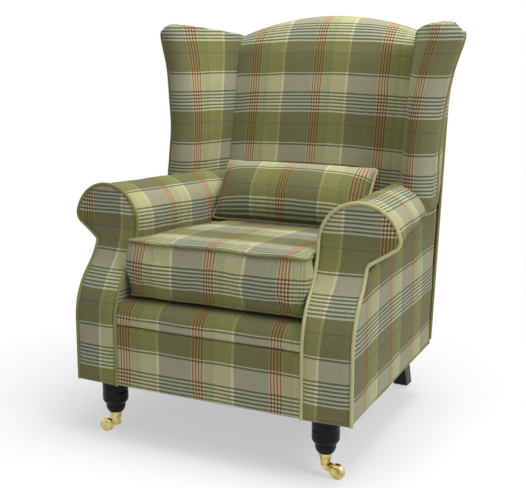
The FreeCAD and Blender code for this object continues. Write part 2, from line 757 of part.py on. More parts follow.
# Zigzag seat springs: level bars joined by half turns, one unbroken wire each
wire_radius = wire_diameter.value / 2
turn_radius = wire_pitch.value / 2
bar_half = wire_swing.value / 2
wire_level = wire_bottom.value + wire_radius
wire_start = (front_rail_front + rail_thickness / 2).value
wire_end = rear_plane(rail_top, (back_post_depth + back_rail_gap) / 2).value
bars = int((wire_end - wire_start) / wire_pitch.value) + 1
first_bar = (wire_start + wire_end - (bars - 1) * wire_pitch.value) / 2
wires = []
for number in range(int(wire_count.value)):
    middle = (number - (wire_count.value - 1) / 2) * wire_spacing.value
    edges = []
    for bar in range(bars):
        heading = 1 if bar % 2 == 0 else -1
        y = first_bar + bar * wire_pitch.value
        tip = middle + heading * bar_half
        edges.append(Part.makeLine(FreeCAD.Vector(middle - heading * bar_half, y, wire_level),
                                   FreeCAD.Vector(tip, y, wire_level)))
        if bar < bars - 1:
            bulge = FreeCAD.Vector(tip + heading * turn_radius, y + turn_radius, wire_level)
            edges.append(Part.Arc(FreeCAD.Vector(tip, y, wire_level), bulge,
                                  FreeCAD.Vector(tip, y + 2 * turn_radius, wire_level)).toShape())
    path = Part.Wire(edges)
    ring = Part.Wire(Part.makeCircle(wire_radius, edges[0].Vertexes[0].Point, FreeCAD.Vector(1, 0, 0)))
    wires.append(path.makePipeShell([ring], True, False))
seat_springs = doc.addObject("Part::Feature", "seat_springs")
seat_springs.Shape = Part.makeCompound(wires)
seat_springs.Label = "seat_springs"
place(seat_springs)

# Spring clips hold the first and last bar of each wire on the front and rear rails
clips = []
last_bar = first_bar + (bars - 1) * wire_pitch.value
for number in range(int(wire_count.value)):
    middle = (number - (wire_count.value - 1) / 2) * wire_spacing.value
    for bar_y in (first_bar, last_bar):
        clip = Part.makeBox(clip_width.value, 14, wire_level - rail_top.value)
        clip.translate(FreeCAD.Vector(middle - clip_width.value / 2, bar_y - 7, rail_top.value))
        clips.append(clip)
clip_blanks = doc.addObject("Part::Feature", "clip_blanks")
clip_blanks.Shape = Part.makeCompound(clips)
place(clip_blanks)
spring_clips = cut("spring_clips", clip_blanks, seat_springs)
parts += [front_border, seat_deck, seat_springs, spring_clips]
lip_block = common("lip_block", lip_blank, lip_span)
seat_lip = cut("seat_lip", lip_block, *pipings)
parts.append(seat_lip)

# Countersunk screws that hold each castor cup to its leg
screws = []
cup_taper = (cup_top_radius - cup_bottom_radius) / (wood_bottom - cup_bottom)
for name, side in sides:
    for turn in (90, 210, 330):
        screw = doc.addObject("Part::Cone", f"screw_{name}")
        bind(screw, "Radius1", screw_head_radius)
        bind(screw, "Radius2", screw_radius / 2)
        bind(screw, "Height", screw_length)
        heading = FreeCAD.Vector(math.cos(math.radians(turn)), math.sin(math.radians(turn)), 0)
        head_out = cup_top_radius - cup_taper * cup_pocket / 2 + 0.2
        screw.Placement = FreeCAD.Placement(FreeCAD.Vector(0, 0, 0),
                                            FreeCAD.Rotation(FreeCAD.Vector(0, 0, 1), -heading))
        bind(screw, "Placement.Base.x", front_leg_across * side + head_out * heading.x)
        bind(screw, "Placement.Base.y", front_leg_depth + head_out * heading.y - origin_setback)
        bind(screw, "Placement.Base.z", wood_bottom - cup_pocket / 2)
        screws.append(screw)
cup_screws = group("cup_screws", *screws)
parts.append(cup_screws)

# Legs
legs = []
for name, side in sides:
    body = new_body(f"front_leg_blank_{name}")
    spigot = cup_top_radius - cup_wall - 0.1
    spigot_end = spigot - cup_taper * cup_pocket
    profile = outline(body, "XZ_Plane", 0, [
        (0, frame_base),
        (0, wood_bottom - cup_pocket),
        (spigot_end, wood_bottom - cup_pocket),
        (spigot, wood_bottom),
        (wood_end_radius, wood_bottom),
        (ankle_radius, ankle_height - 6),
        (ankle_radius, ankle_height),
        (front_leg_radius, drum_bottom),
        (front_leg_radius, groove_height - 3),
        (front_leg_radius - groove_depth, groove_height),
        (front_leg_radius, groove_height + 3),
        (front_leg_radius, frame_base),
    ], {4: (26, 1), 6: (16, 1)})
    turned = body.newObject("PartDesign::Revolution", "turned")
    turned.Profile = profile
    turned.ReferenceAxis = (profile, ["V_Axis"])
    turned.Angle = 360
    place(body, 0, front_leg_across * side, front_leg_depth)
    front_leg = cut(f"front_leg_{name}", body, leg_bolts, cup_screws)

    foot, top = rear_foot_size / 2, rear_leg_size / 2
    leg_body = loft(f"rear_leg_blank_{name}", "XY_Plane", [
        (glide_thickness, [((rear_foot_across + a * foot) * side, rear_foot_depth + b * foot)
                           for a, b in ((-1, -1), (1, -1), (1, 1), (-1, 1))], {}),
        (frame_base, [((rear_leg_across + a * top) * side, rear_leg_depth + b * top)
                      for a, b in ((-1, -1), (1, -1), (1, 1), (-1, 1))], {}),
    ])
    rear_leg = cut(f"rear_leg_{name}", leg_body, leg_bolts)
    legs += [front_leg, rear_leg]
    parts += [front_leg, rear_leg]

glides = []
for name, side in sides:
    glide = doc.addObject("Part::Cylinder", f"glide_{name}")
    bind(glide, "Radius", glide_radius)
    bind(glide, "Height", glide_thickness)
    place(glide, 0, rear_foot_across * side, rear_foot_depth)
    glides.append(glide)
rear_glides = group("rear_glides", *glides)
lining_front = front_rail_front + 0.5
lining_sheet = between("lining_sheet", post_outer, lining_front, back_depth - 0.5, base_height, frame_base, 0.5)
base_lining = cut("base_lining", lining_sheet, leg_bolts, *legs)
parts += [rear_glides, base_lining]


# A round piece turned about its own vertical axis
def turned_piece(label, corners, x, y, arcs=None):
    body = new_body(label)
    profile = outline(body, "XZ_Plane", 0, corners, arcs)
    feature = body.newObject("PartDesign::Revolution", "turned")
    feature.Profile = profile
    feature.ReferenceAxis = (profile, ["V_Axis"])
    feature.Angle = 360
    place(body, 0, x, y)
    return body


# Castors: a cup on the leg, a fork that swivels under it and trails outward, and a wheel
for name, side in sides:
    leg_x = front_leg_across * side
    pocket_floor = wood_bottom - cup_pocket
    pocket_top = cup_top_radius - cup_wall
    bore = pivot_radius + pivot_clearance
    cup = turned_piece(f"castor_cup_blank_{name}", [
        (pocket_top, wood_bottom),
        (pocket_top - cup_taper * cup_pocket, pocket_floor),
        (bore, pocket_floor),
        (bore, cup_bottom),
        (cup_bottom_radius, cup_bottom),
        (cup_top_radius, wood_bottom),
    ], leg_x, front_leg_depth)
    castor_cup = cut(f"castor_cup_{name}", cup, cup_screws)
    parts.append(castor_cup)

    fork_top = cup_bottom - fork_gap
    fork_floor = fork_top - fork_boss_height
    boss_radius = cup_bottom_radius - 0.4
    fork = turned_piece(f"fork_boss_{name}", [
        (0, fork_floor), (boss_radius, fork_floor), (boss_radius, fork_top), (pivot_radius, fork_top),
        (pivot_radius, fork_top + pivot_length), (0, fork_top + pivot_length)], leg_x, front_leg_depth)
    inner = wheel_width / 2 + wheel_gap
    axle_x = castor_trail * side
    cheeks = []
    for cheek_side in (-1, 1):
        cheek_start = inner if cheek_side > 0 else -(inner + cheek_thickness)
        points, arcs = mirrored([
            (-boss_radius * 0.6, fork_top),
            (-boss_radius * 0.6, fork_floor),
            (castor_trail - 3, wheel_radius - hub_radius),
            (castor_trail + hub_radius, wheel_radius),
            (castor_trail + 3, wheel_radius + hub_radius),
            (boss_radius * 0.7, fork_top),
        ], {2: (hub_radius * 1.1, 1), 3: (hub_radius * 1.1, 1)}, side)
        cheek = prism(f"cheek_{name}", "XZ_Plane", cheek_start, cheek_thickness, points, arcs)
        place(cheek, 0, leg_x, front_leg_depth)
        cheeks.append(cheek)
    bridge = prism(f"bridge_{name}", "XZ_Plane", -inner, inner * 2,
                   mirrored([(-boss_radius * 0.6, fork_floor), (boss_radius * 0.55, fork_floor),
                             (boss_radius * 0.55, fork_top), (-boss_radius * 0.6, fork_top)], {}, side)[0])
    place(bridge, 0, leg_x, front_leg_depth)
    fork_solid = doc.addObject("Part::MultiFuse", f"fork_solid_{name}")
    fork_solid.Shapes = [fork, bridge] + cheeks
    axle = doc.addObject("Part::Cylinder", f"castor_axle_{name}")
    axle.Label = f"castor_axle_{name}"
    bind(axle, "Radius", axle_radius)
    bind(axle, "Height", (inner + cheek_thickness) * 2 + 1)
    axle.Placement = FreeCAD.Placement(FreeCAD.Vector(0, 0, 0), FreeCAD.Rotation(FreeCAD.Vector(1, 0, 0), 90))
    bind(axle, "Placement.Base.x", leg_x + axle_x)
    bind(axle, "Placement.Base.y", front_leg_depth + inner + cheek_thickness + 0.5 - origin_setback)
    bind(axle, "Placement.Base.z", wheel_radius)
    castor_fork = cut(f"castor_fork_{name}", fork_solid, axle)
    wheel = new_body(f"castor_wheel_{name}")
    rim = outline(wheel, "YZ_Plane", 0, [
        (-wheel_width / 2, axle_radius + pivot_clearance),
        (wheel_width / 2, axle_radius + pivot_clearance),
        (wheel_width / 2, wheel_radius - 4),
        (wheel_width / 2 - 1, wheel_radius - 2),
        (wheel_width / 4, wheel_radius),
        (-wheel_width / 4, wheel_radius),
        (-(wheel_width / 2 - 1), wheel_radius - 2),
        (-wheel_width / 2, wheel_radius - 4),
    ])
    turned = wheel.newObject("PartDesign::Revolution", "turned")
    turned.Profile = rim
    turned.ReferenceAxis = (rim, ["H_Axis"])
    turned.Angle = 360
    place(wheel, 0, leg_x + axle_x, front_leg_depth, wheel_radius)
    parts += [castor_fork, axle, wheel]


# Seat cushion: crowned top, sides drawn in at the middle of its depth
def cushion_section(depth, pull_in, crown):
    half = across(0, depth) - welt_width - cushion_side_gap - pull_in
    rise = as_size(crown)
    radius = (half * half + rise * rise) / (rise * 2)
    side_radius = (cushion_edge_height - cushion_bottom) * 2
    points = [
        (-(half - 8), cushion_bottom),
        (half - 8, cushion_bottom),
        (half, cushion_bottom + 18),
        (half, cushion_edge_height),
        (0, cushion_edge_height + rise),
        (-half, cushion_edge_height),
        (-half, cushion_bottom + 18),
    ]
    return -depth, points, {1: (22, 1), 3: (radius, 1), 4: (radius, 1), 6: (22, 1)}


seat_cushion = loft("seat_cushion", "XZ_Plane", [
    cushion_section(cushion_front, 0, cushion_end_crown),
    cushion_section(cushion_front + cushion_depth / 2, cushion_pull_in, cushion_crown),
    cushion_section(cushion_front + cushion_depth, 0, cushion_end_crown),
])


# Lumbar cushion: two bowed faces that meet at the edges, with fuller corners than middle sides
def lumbar_section(reach, tall, thick):
    half = tall / 2
    bow = thick / 2
    radius = (half * half + bow * bow) / (bow * 2)
    return reach, [(0, -half), (0, half)], {0: (radius, 1), 1: (radius, 1)}


half_width = lumbar_width / 2
lumbar = loft("lumbar_cushion", "YZ_Plane", [
    lumbar_section(-half_width, lumbar_tall, lumbar_thickness * 0.16),
    lumbar_section(-half_width * 0.72, lumbar_tall * 0.97, lumbar_thickness * 0.8),
    lumbar_section(as_size(0), lumbar_tall * 0.95, lumbar_thickness),
    lumbar_section(half_width * 0.72, lumbar_tall * 0.97, lumbar_thickness * 0.8),
    lumbar_section(half_width, lumbar_tall, lumbar_thickness * 0.16),
])
middle_tall = lumbar_tall * 0.95
lumbar_reach = (middle_tall * middle_tall + lumbar_thickness * lumbar_thickness) / (lumbar_thickness * 4)
lumbar_drop = lumbar_reach - (lumbar_reach - lumbar_thickness / 2) * sine(lumbar_tilt)
from_crown = (lumbar_centre_depth - cushion_front) * 2 / cushion_depth - 1
crown_there = cushion_crown - (cushion_crown - cushion_end_crown) * from_crown * from_crown
lumbar_height = cushion_edge_height + crown_there + lumbar_gap + lumbar_drop
lumbar.Placement = FreeCAD.Placement(FreeCAD.Vector(0, 0, 0), FreeCAD.Rotation(FreeCAD.Vector(1, 0, 0), -1))
bind(lumbar, "Placement.Rotation.Angle", -lumbar_tilt)
bind(lumbar, "Placement.Base.y", lumbar_centre_depth - origin_setback)
bind(lumbar, "Placement.Base.z", lumbar_height)
parts += [seat_cushion, lumbar]

doc.recompute()

# Every object and every piece is sound before anything is written
faults = [item.Name for item in doc.Objects if "Invalid" in item.State or "Error" in item.State]
for piece in parts:
    if piece.Shape.isNull() or not piece.Shape.isValid() or not piece.Shape.Solids:
        faults.append(piece.Label)
if faults:
    raise RuntimeError("not sound: " + ", ".join(faults))
if len({piece.Label for piece in parts}) != len(parts) or len(parts) > 60:
    raise RuntimeError("labels repeat, or too many pieces")

os.makedirs("parts", exist_ok=True)
for piece in parts:
    piece.Shape.exportStep(f"parts/{piece.Label}.step")
    print(piece.Label, len(piece.Shape.Solids), round(piece.Shape.Volume))
print(len(parts), "pieces")
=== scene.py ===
import bmesh
import bpy
import json
import math
import numpy as np
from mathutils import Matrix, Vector


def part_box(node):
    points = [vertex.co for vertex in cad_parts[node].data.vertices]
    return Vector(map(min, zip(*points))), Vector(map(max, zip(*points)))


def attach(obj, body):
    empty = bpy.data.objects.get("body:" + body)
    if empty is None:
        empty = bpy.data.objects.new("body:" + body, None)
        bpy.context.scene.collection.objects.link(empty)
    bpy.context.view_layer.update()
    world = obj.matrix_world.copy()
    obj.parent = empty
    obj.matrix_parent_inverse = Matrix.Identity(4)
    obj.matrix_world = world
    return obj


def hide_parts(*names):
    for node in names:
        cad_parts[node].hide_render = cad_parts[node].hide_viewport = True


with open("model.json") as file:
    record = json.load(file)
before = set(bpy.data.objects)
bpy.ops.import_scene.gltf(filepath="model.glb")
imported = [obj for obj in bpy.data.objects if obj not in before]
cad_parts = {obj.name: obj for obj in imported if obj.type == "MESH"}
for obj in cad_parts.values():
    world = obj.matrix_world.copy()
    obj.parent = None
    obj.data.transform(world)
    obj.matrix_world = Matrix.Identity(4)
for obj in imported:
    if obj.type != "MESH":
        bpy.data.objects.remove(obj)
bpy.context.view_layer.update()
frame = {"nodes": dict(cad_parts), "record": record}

scene = bpy.context.scene
scene.view_settings.view_transform = "Standard"
pi = math.pi


# Camera

cameraPlace = {
    "spot": (1.0872, -2.2016, 0.9298),   # metres, in the chair's own frame
    "turn": 27.1,                        # degrees to the left of straight ahead
    "tilt": -11.3,
    "lens": 68.13,
    "sensor": 36,
}
cameraData = bpy.data.cameras.new("photoCamera")
cameraData.lens = cameraPlace["lens"]
cameraData.sensor_width = cameraPlace["sensor"]
camera = bpy.data.objects.new("photoCamera", cameraData)
camera.location = cameraPlace["spot"]
camera.rotation_euler = (math.radians(90 + cameraPlace["tilt"]), 0, math.radians(cameraPlace["turn"]))
scene.collection.objects.link(camera)
scene.camera = camera
print("camera set")


# The chair's own shape, in metres; y runs back from the front plane of the arm facings

chair = {
    "seatWidth": 0.481,     # between the arms at the front
    "toe": 3.4,             # degrees that each arm turns in toward the back
    "base": 0.141,          # underside of the upholstery
    "backDepth": 0.656,
    "rake": 4.9,
    "height": 1.007,
    "setback": 0.36853,     # from the facings' front plane to the middle of the chair
}
toe = math.radians(chair["toe"])
rakeSlope = math.tan(math.radians(chair["rake"]))


def across(inset, y):  # half width of the plane that lies inset inside the arm's inner face
    return chair["seatWidth"] / 2 + inset / math.cos(toe) - y * math.tan(toe)


def rearPlane(z, inset=0.0):  # depth of the raked rear plane of the frame
    return chair["backDepth"] - inset + (z - chair["base"]) * rakeSlope


def armToChair(side, u, v, z):  # a point of an arm: u across it, v along it
    x = side * (chair["seatWidth"] / 2 + u * math.cos(toe) - v * math.sin(toe))
    y = u * math.sin(toe) + v * math.cos(toe)
    return np.stack([x, y, z + 0 * x], axis=-1)


noiseWaves = {"count": 9, "shortest": 0.7, "longest": 1.6}   # waves that add up to one unevenness


def softNoise(points, wave, seed):  # smooth seeded unevenness, mostly from -1 to 1
    rng = np.random.default_rng(seed)
    total = np.zeros(points.shape[:-1])
    for _ in range(noiseWaves["count"]):
        heading = rng.normal(size=3)
        length = wave * rng.uniform(noiseWaves["shortest"], noiseWaves["longest"])
        heading *= 2 * pi / length / np.linalg.norm(heading)
        total += np.sin(points @ heading + rng.uniform(0, 2 * pi))
    return total / (noiseWaves["count"] / 2)


def uneven(points, swells, side=0):  # each swell is a height, a wavelength and a seed
    return sum(height * softNoise(points, wave, seed + side) for height, wave, seed in swells)


def smoothStep(low, high, value):
    t = np.clip((value - low) / (high - low), 0, 1)
    return t * t * (3 - 2 * t)


def throughLevels(levels, values, z):  # smooth curve through one value at each level
    slopes = np.gradient(np.array(values, float), np.array(levels, float))
    z = np.clip(z, levels[0], levels[-1])
    k = np.clip(np.searchsorted(levels, z, side="right") - 1, 0, len(levels) - 2)
    levels, values = np.array(levels, float), np.array(values, float)
    step = levels[k + 1] - levels[k]
    t = (z - levels[k]) / step
    return ((2 * t ** 3 - 3 * t ** 2 + 1) * values[k] + (t ** 3 - 2 * t ** 2 + t) * step * slopes[k]
            + (-2 * t ** 3 + 3 * t ** 2) * values[k + 1] + (t ** 3 - t ** 2) * step * slopes[k + 1])


# Mesh helpers: cloth coordinates are metres along the weave, kept in the UV map "cloth"

welding = {"near": 0.0002, "least": 0.00001}   # points closer than near become one


def newStore():
    return {"verts": [], "faces": [], "cloth": []}


def addPatch(store, points, cloth, wrap=False, flip=False):
    rows, cols = points.shape[:2]
    start = len(store["verts"])
    store["verts"] += [tuple(p) for p in points.reshape(-1, 3)]
    for i in range(rows - 1):
        for j in range(cols if wrap else cols - 1):
            k = (j + 1) % cols
            low, high = start + i * cols, start + (i + 1) * cols
            quad = [low + j, low + k, high + k, high + j]
            marks = [cloth[i, j], cloth[i, j + 1], cloth[i + 1, j + 1], cloth[i + 1, j]]
            if flip:
                quad, marks = quad[::-1], marks[::-1]
            store["faces"].append(quad)
            store["cloth"] += marks


def makeObject(name, store):
    mesh = bpy.data.meshes.new(name)
    verts = np.array(store["verts"])
    verts[:, 1] -= chair["setback"]
    mesh.from_pydata([tuple(v) for v in verts], [], store["faces"])
    layer = mesh.uv_layers.new(name="cloth")
    layer.data.foreach_set("uv", np.array(store["cloth"], np.float32).ravel())
    mesh.polygons.foreach_set("use_smooth", [True] * len(mesh.polygons))
    mesh.update()
    piece = bpy.data.objects.new(name, mesh)
    scene.collection.objects.link(piece)
    bm = bmesh.new()
    bm.from_mesh(mesh)
    bmesh.ops.remove_doubles(bm, verts=bm.verts, dist=welding["near"])
    bmesh.ops.dissolve_degenerate(bm, edges=bm.edges, dist=welding["least"])
    bmesh.ops.recalc_face_normals(bm, faces=bm.faces)
    bm.to_mesh(mesh)
    bm.free()
    return piece


def dress(piece, material, body, node=None):  # its finish, its body, and what it stands for
    piece.data.materials.append(material)
    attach(piece, body)
    if node:
        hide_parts(node)


def runLength(points, axis=0):  # distance along rows of points, from 0
    steps = np.linalg.norm(np.diff(points, axis=axis), axis=-1)
    return np.insert(np.cumsum(steps, axis), 0, 0, axis=axis)


pipingStrip = {
    "pale": -0.028,            # where along the weft each colour of strip was cut
    "olive": -0.158,
    "warp": 0.062,             # where along the warp, and how far and how slowly it drifts
    "drift": 0.012,
    "driftLength": 0.07,
    "bias": (0.2, 0.3),        # the strip's slant to the weave
    "sides": 10,
    "away": (0.123, 0.321, 0.94),   # a direction that no path starts along
}


def addTube(store, path, radius, band="pale", closed=False, lead=None):  # lead lets the warp cross the strip
    path = np.array(path, float)
    ahead = np.roll(path, -1, 0) - np.roll(path, 1, 0) if closed else np.gradient(path, axis=0)
    ahead /= np.linalg.norm(ahead, axis=1)[:, None]
    side = np.cross(ahead[0], pipingStrip["away"])
    side /= np.linalg.norm(side)
    sides = pipingStrip["sides"]
    turn = np.linspace(0, 2 * pi, sides, endpoint=False)[:, None]
    rings = []
    for spot, way in zip(path, ahead):
        side = side - way * np.dot(side, way)
        side /= np.linalg.norm(side)
        rings.append(spot + radius * (np.cos(turn) * side + np.sin(turn) * np.cross(way, side)))
    rings = np.array(rings)
    length = runLength(path)
    if closed:   # the last ring meets the first one at the turn that twists least
        twists = [np.linalg.norm(np.roll(rings[0], -k, 0) - rings[-1], axis=1).sum() for k in range(sides)]
        rings = np.concatenate([rings, np.roll(rings[0], -int(np.argmin(twists)), 0)[None]])
        length = np.r_[length, length[-1] + np.linalg.norm(path[0] - path[-1])]
    girth = np.linspace(0, 2 * pi * radius, sides + 1)[None]
    length = length[:, None]
    if lead is None:
        run = pipingStrip["warp"] + pipingStrip["drift"] * np.sin(length / pipingStrip["driftLength"])
    else:
        run = length + lead
    slant = pipingStrip["bias"]
    cloth = np.stack([run + slant[0] * girth, pipingStrip[band] + slant[1] * girth + 0 * length], -1)
    addPatch(store, rings, cloth, wrap=True)


# Shader groups

def colour(r, g, b):  # a colour written as it shows on screen, 0 to 255, to scene values
    shown = (r / 255, g / 255, b / 255)
    return tuple(c / 12.92 if c <= 0.04045 else ((c + 0.055) / 1.055) ** 2.4 for c in shown) + (1,)


yarns = {  # tints that the warp lays over the weft
    "straw": (1.0, 1.0, 1.0),
    "stone": (0.74, 0.755, 0.93),
    "cream": (1.24, 1.25, 1.42),
    "sage": (0.93, 0.96, 0.95),
    "moss": (0.58, 0.72, 0.60),
    "rust": (0.72, 0.55, 0.50),
    "blush": (1.05, 0.90, 0.98),
    "brick": (0.62, 0.30, 0.27),
}
warpSett = [("blush", 3)] + [("brick", 3.4), ("blush", 4)] * 3 + [
    ("brick", 3.4), ("blush", 2.4), ("sage", 4), ("moss", 1.6), ("sage", 4), ("rust", 1), ("sage", 4),
    ("moss", 1.6), ("sage", 4.5), ("moss", 1.2), ("sage", 5), ("straw", 40), ("cream", 7), ("stone", 83)]
wefts = {
    "pale": colour(171, 169, 127),
    "white": colour(180, 181, 144),
    "dark": colour(109, 111, 75),
    "olive": colour(123, 123, 74),
    "plum": colour(112, 100, 80),
}
weftSett = [("white", 2.8), ("dark", 4.0), ("pale", 44)] + [("dark", 4.4), ("white", 4.4)] * 6 + [
    ("olive", 30), ("plum", 1.8), ("olive", 49.6)]
warpRepeat = sum(width for _, width in warpSett) / 1000
weftRepeat = sum(width for _, width in weftSett) / 1000


class Tree:  # short ways to place and join nodes
    def __init__(self, tree):
        self.tree = tree

    def feed(self, socket, value):  # value is a plain one or another node's socket
        if isinstance(value, bpy.types.NodeSocket):
            self.tree.links.new(value, socket)
        else:
            socket.default_value = value

    def node(self, kind, inputs=None, **settings):
        made = self.tree.nodes.new(kind)
        for key, value in settings.items():
            setattr(made, key, value)
        for key, value in (inputs or {}).items():
            self.feed(made.inputs[key], value)
        return made

    def maths(self, operation, a, b=None):
        values = {0: a} if b is None else {0: a, 1: b}
        return self.node("ShaderNodeMath", values, operation=operation).outputs[0]

    def mix(self, factor, a, b, blend="MIX"):
        values = {0: factor, 6: a, 7: b}
        return self.node("ShaderNodeMix", values, data_type="RGBA", blend_type=blend).outputs[2]

    def noise(self, where, scale, detail, roughness=0.5):
        return self.node("ShaderNodeTexNoise", {
            "Vector": where, "Scale": scale, "Detail": detail, "Roughness": roughness})

    def seenPlainly(self):  # 1 for what the camera sees, directly, in gloss or through glass
        rays = self.node("ShaderNodeLightPath").outputs
        seen = self.maths("MAXIMUM", rays["Is Camera Ray"], rays["Is Glossy Ray"])
        return self.maths("MAXIMUM", seen, rays["Is Transmission Ray"])


def newGroup(name, inputs, outputs):
    tree = bpy.data.node_groups.new(name, "ShaderNodeTree")
    for label, kind, value in inputs:
        socket = tree.interface.new_socket(label, in_out="INPUT", socket_type="NodeSocket" + kind)
        if value is not None:
            socket.default_value = value
    for label, kind in outputs:
        tree.interface.new_socket(label, in_out="OUTPUT", socket_type="NodeSocket" + kind)
    t = Tree(tree)
    return tree, t, t.node("NodeGroupInput").outputs, t.node("NodeGroupOutput").inputs


def stripeRamp(t, sett, colours, repeat, along):
    ramp = t.node("ShaderNodeValToRGB", {0: along})
    ramp.color_ramp.interpolation = "CONSTANT"
    stops = ramp.color_ramp.elements
    place = 0.0
    for i, (yarn, width) in enumerate(sett):
        stop = stops[0] if i == 0 else stops.new(place)
        stop.position = place
        stop.color = tuple(colours[yarn][:3]) + (1,)
        place += width / 1000 / repeat
    stops.remove(stops[-1])
    return ramp.outputs[0]


weave = {
    "drift": 0.006,        # how far the stripes wander, in metres
    "driftScale": 9,
    "phase": 0.0155,       # puts the middle of the red stripes at zero
    "headroom": 0.7,       # keeps the brightest tint under 1 in its ramp
    "twill": 0.0021,       # spacing of the diagonal lines, and of the threads that cross them
    "thread": 0.0011,
    "threadSlant": 0.35,
    "twillDepth": 0.34,
    "threadDepth": 0.16,
    "fibreScale": 420,
    "fleckScale": 150,
    "fleckRoughness": 0.7,
    "blotchScale": 14,
    "threadShade": 0.22,   # what each of them adds to the cloth's shade, over the least shade
    "fibreShade": 0.22,
    "fleckShade": 0.5,
    "leastShade": 0.52,
    "fibreBump": 0.5,
}


def makePlaid():
    tree, t, given, out = newGroup("wovenPlaid", [
        ("Cloth", "Vector", None), ("Twill", "Float", 1.0), ("Fade", "Float", 0.06)],
        [("Color", "Color"), ("Threads", "Float")])
    cloth = given["Cloth"]
    wander = (weave["drift"], weave["drift"], 0)
    drift = t.noise(cloth, weave["driftScale"], 1).outputs["Color"]
    shifted = t.node("ShaderNodeVectorMath", {0: drift, 1: wander, 2: cloth}, operation="MULTIPLY_ADD")
    parts = t.node("ShaderNodeSeparateXYZ", {0: shifted.outputs[0]}).outputs
    x = t.maths("SUBTRACT", parts[0], weave["drift"] / 2)
    y = t.maths("SUBTRACT", parts[1], weave["drift"] / 2)
    alongWarp = t.maths("FRACT", t.maths("DIVIDE", t.maths("ADD", x, weave["phase"]), warpRepeat))
    alongWeft = t.maths("FRACT", t.maths("DIVIDE", t.maths("MULTIPLY", y, -1.0), weftRepeat))
    room = weave["headroom"]
    tints = {yarn: tuple(c * room for c in tint) for yarn, tint in yarns.items()}
    warp = stripeRamp(t, warpSett, tints, warpRepeat, alongWarp)
    weft = stripeRamp(t, weftSett, wefts, weftRepeat, alongWeft)
    both = t.mix(1.0, warp, weft, "MULTIPLY")
    bright = t.mix(1.0, both, (1 / room, 1 / room, 1 / room, 1), "MULTIPLY")
    diagonal = t.maths("SINE", t.maths("MULTIPLY", t.maths("ADD", x, y), 2 * pi / weave["twill"]))
    slanted = t.maths("SUBTRACT", x, t.maths("MULTIPLY", y, weave["threadSlant"]))
    cross = t.maths("SINE", t.maths("MULTIPLY", slanted, 2 * pi / weave["thread"]))
    threads = t.maths("ADD", t.maths("MULTIPLY", diagonal, weave["twillDepth"]),
                      t.maths("MULTIPLY", cross, weave["threadDepth"]))
    threads = t.maths("MULTIPLY", t.maths("ADD", threads, 0.5), given["Twill"])
    fibre = t.noise(cloth, weave["fibreScale"], 3).outputs[0]
    fleck = t.noise(cloth, weave["fleckScale"], 4, weave["fleckRoughness"]).outputs[0]
    blotch = t.noise(cloth, weave["blotchScale"], 3).outputs[0]
    shade = t.maths("MULTIPLY", threads, weave["threadShade"])
    shades = ((fibre, weave["fibreShade"]), (blotch, given["Fade"]), (fleck, weave["fleckShade"]))
    for pattern, strength in shades:
        shade = t.maths("ADD", shade, t.maths("MULTIPLY", pattern, strength))
    shade = t.maths("ADD", shade, weave["leastShade"])
    grey = t.node("ShaderNodeCombineColor", {0: shade, 1: shade, 2: shade}).outputs[0]
    t.feed(out["Color"], t.mix(1.0, bright, grey, "MULTIPLY"))
    t.feed(out["Threads"], t.maths("ADD", threads, t.maths("MULTIPLY", fibre, weave["fibreBump"])))
    return tree


grainAcross = 90   # the grain is fine across the timber and long up it


def makeGrain():
    tree, t, given, out = newGroup("woodGrain", [
        ("Place", "Vector", None), ("Light", "Color", None), ("Dark", "Color", None),
        ("Length", "Float", 12.0)],
        [("Color", "Color"), ("Pores", "Float")])
    scales = t.node("ShaderNodeCombineXYZ", {0: grainAcross, 1: grainAcross, 2: given["Length"]}).outputs[0]
    stretch = t.node("ShaderNodeVectorMath", {0: given["Place"], 1: scales}, operation="MULTIPLY").outputs[0]
    rings = t.noise(stretch, 1, 5).outputs[0]
    t.feed(out["Color"], t.mix(rings, given["Dark"], given["Light"]))
    t.feed(out["Pores"], rings)
    return tree


tarnish = {"scale": 95, "detail": 4, "from": 0.38, "to": 0.68}


def makeTarnish():
    tree, t, given, out = newGroup("handledMetal", [
        ("Place", "Vector", None), ("Clean", "Color", None), ("Aged", "Color", None),
        ("Smooth", "Float", 0.25), ("Worn", "Float", 0.45)],
        [("Color", "Color"), ("Roughness", "Float")])
    patches = t.noise(given["Place"], tarnish["scale"], tarnish["detail"]).outputs[0]
    spread = t.node("ShaderNodeMapRange", {0: patches, 1: tarnish["from"], 2: tarnish["to"]}).outputs[0]
    t.feed(out["Color"], t.mix(spread, given["Clean"], given["Aged"]))
    rough = t.node("ShaderNodeMix", {0: spread, 2: given["Smooth"], 3: given["Worn"]}, data_type="FLOAT")
    t.feed(out["Roughness"], rough.outputs[0])
    return tree


plaidGroup, grainGroup, tarnishGroup = makePlaid(), makeGrain(), makeTarnish()


def newMaterial(name, values):  # values are for the shader's own sockets
    material = bpy.data.materials.new(name)
    material.use_nodes = True
    t = Tree(material.node_tree)
    shader = next(n for n in material.node_tree.nodes if n.type == "BSDF_PRINCIPLED")
    for socket, value in values.items():
        shader.inputs[socket].default_value = value
    return material, t, shader


def addBump(t, shader, height, strength, distance=0.0006):
    bump = t.node("ShaderNodeBump", {"Strength": strength, "Distance": distance, "Height": height})
    t.feed(shader.inputs["Normal"], bump.outputs[0])


def plaidMaterial(name, strength, fade):
    material, t, shader = newMaterial(name, {
        "Roughness": 0.92, "Specular IOR Level": 0.12, "Sheen Weight": 0.08, "Sheen Roughness": 0.5})
    where = t.node("ShaderNodeUVMap", uv_map="cloth").outputs[0]
    cloth = t.node("ShaderNodeGroup", {"Cloth": where, "Fade": fade}, node_tree=plaidGroup).outputs
    t.feed(shader.inputs["Base Color"], cloth["Color"])
    addBump(t, shader, cloth["Threads"], strength)
    return material


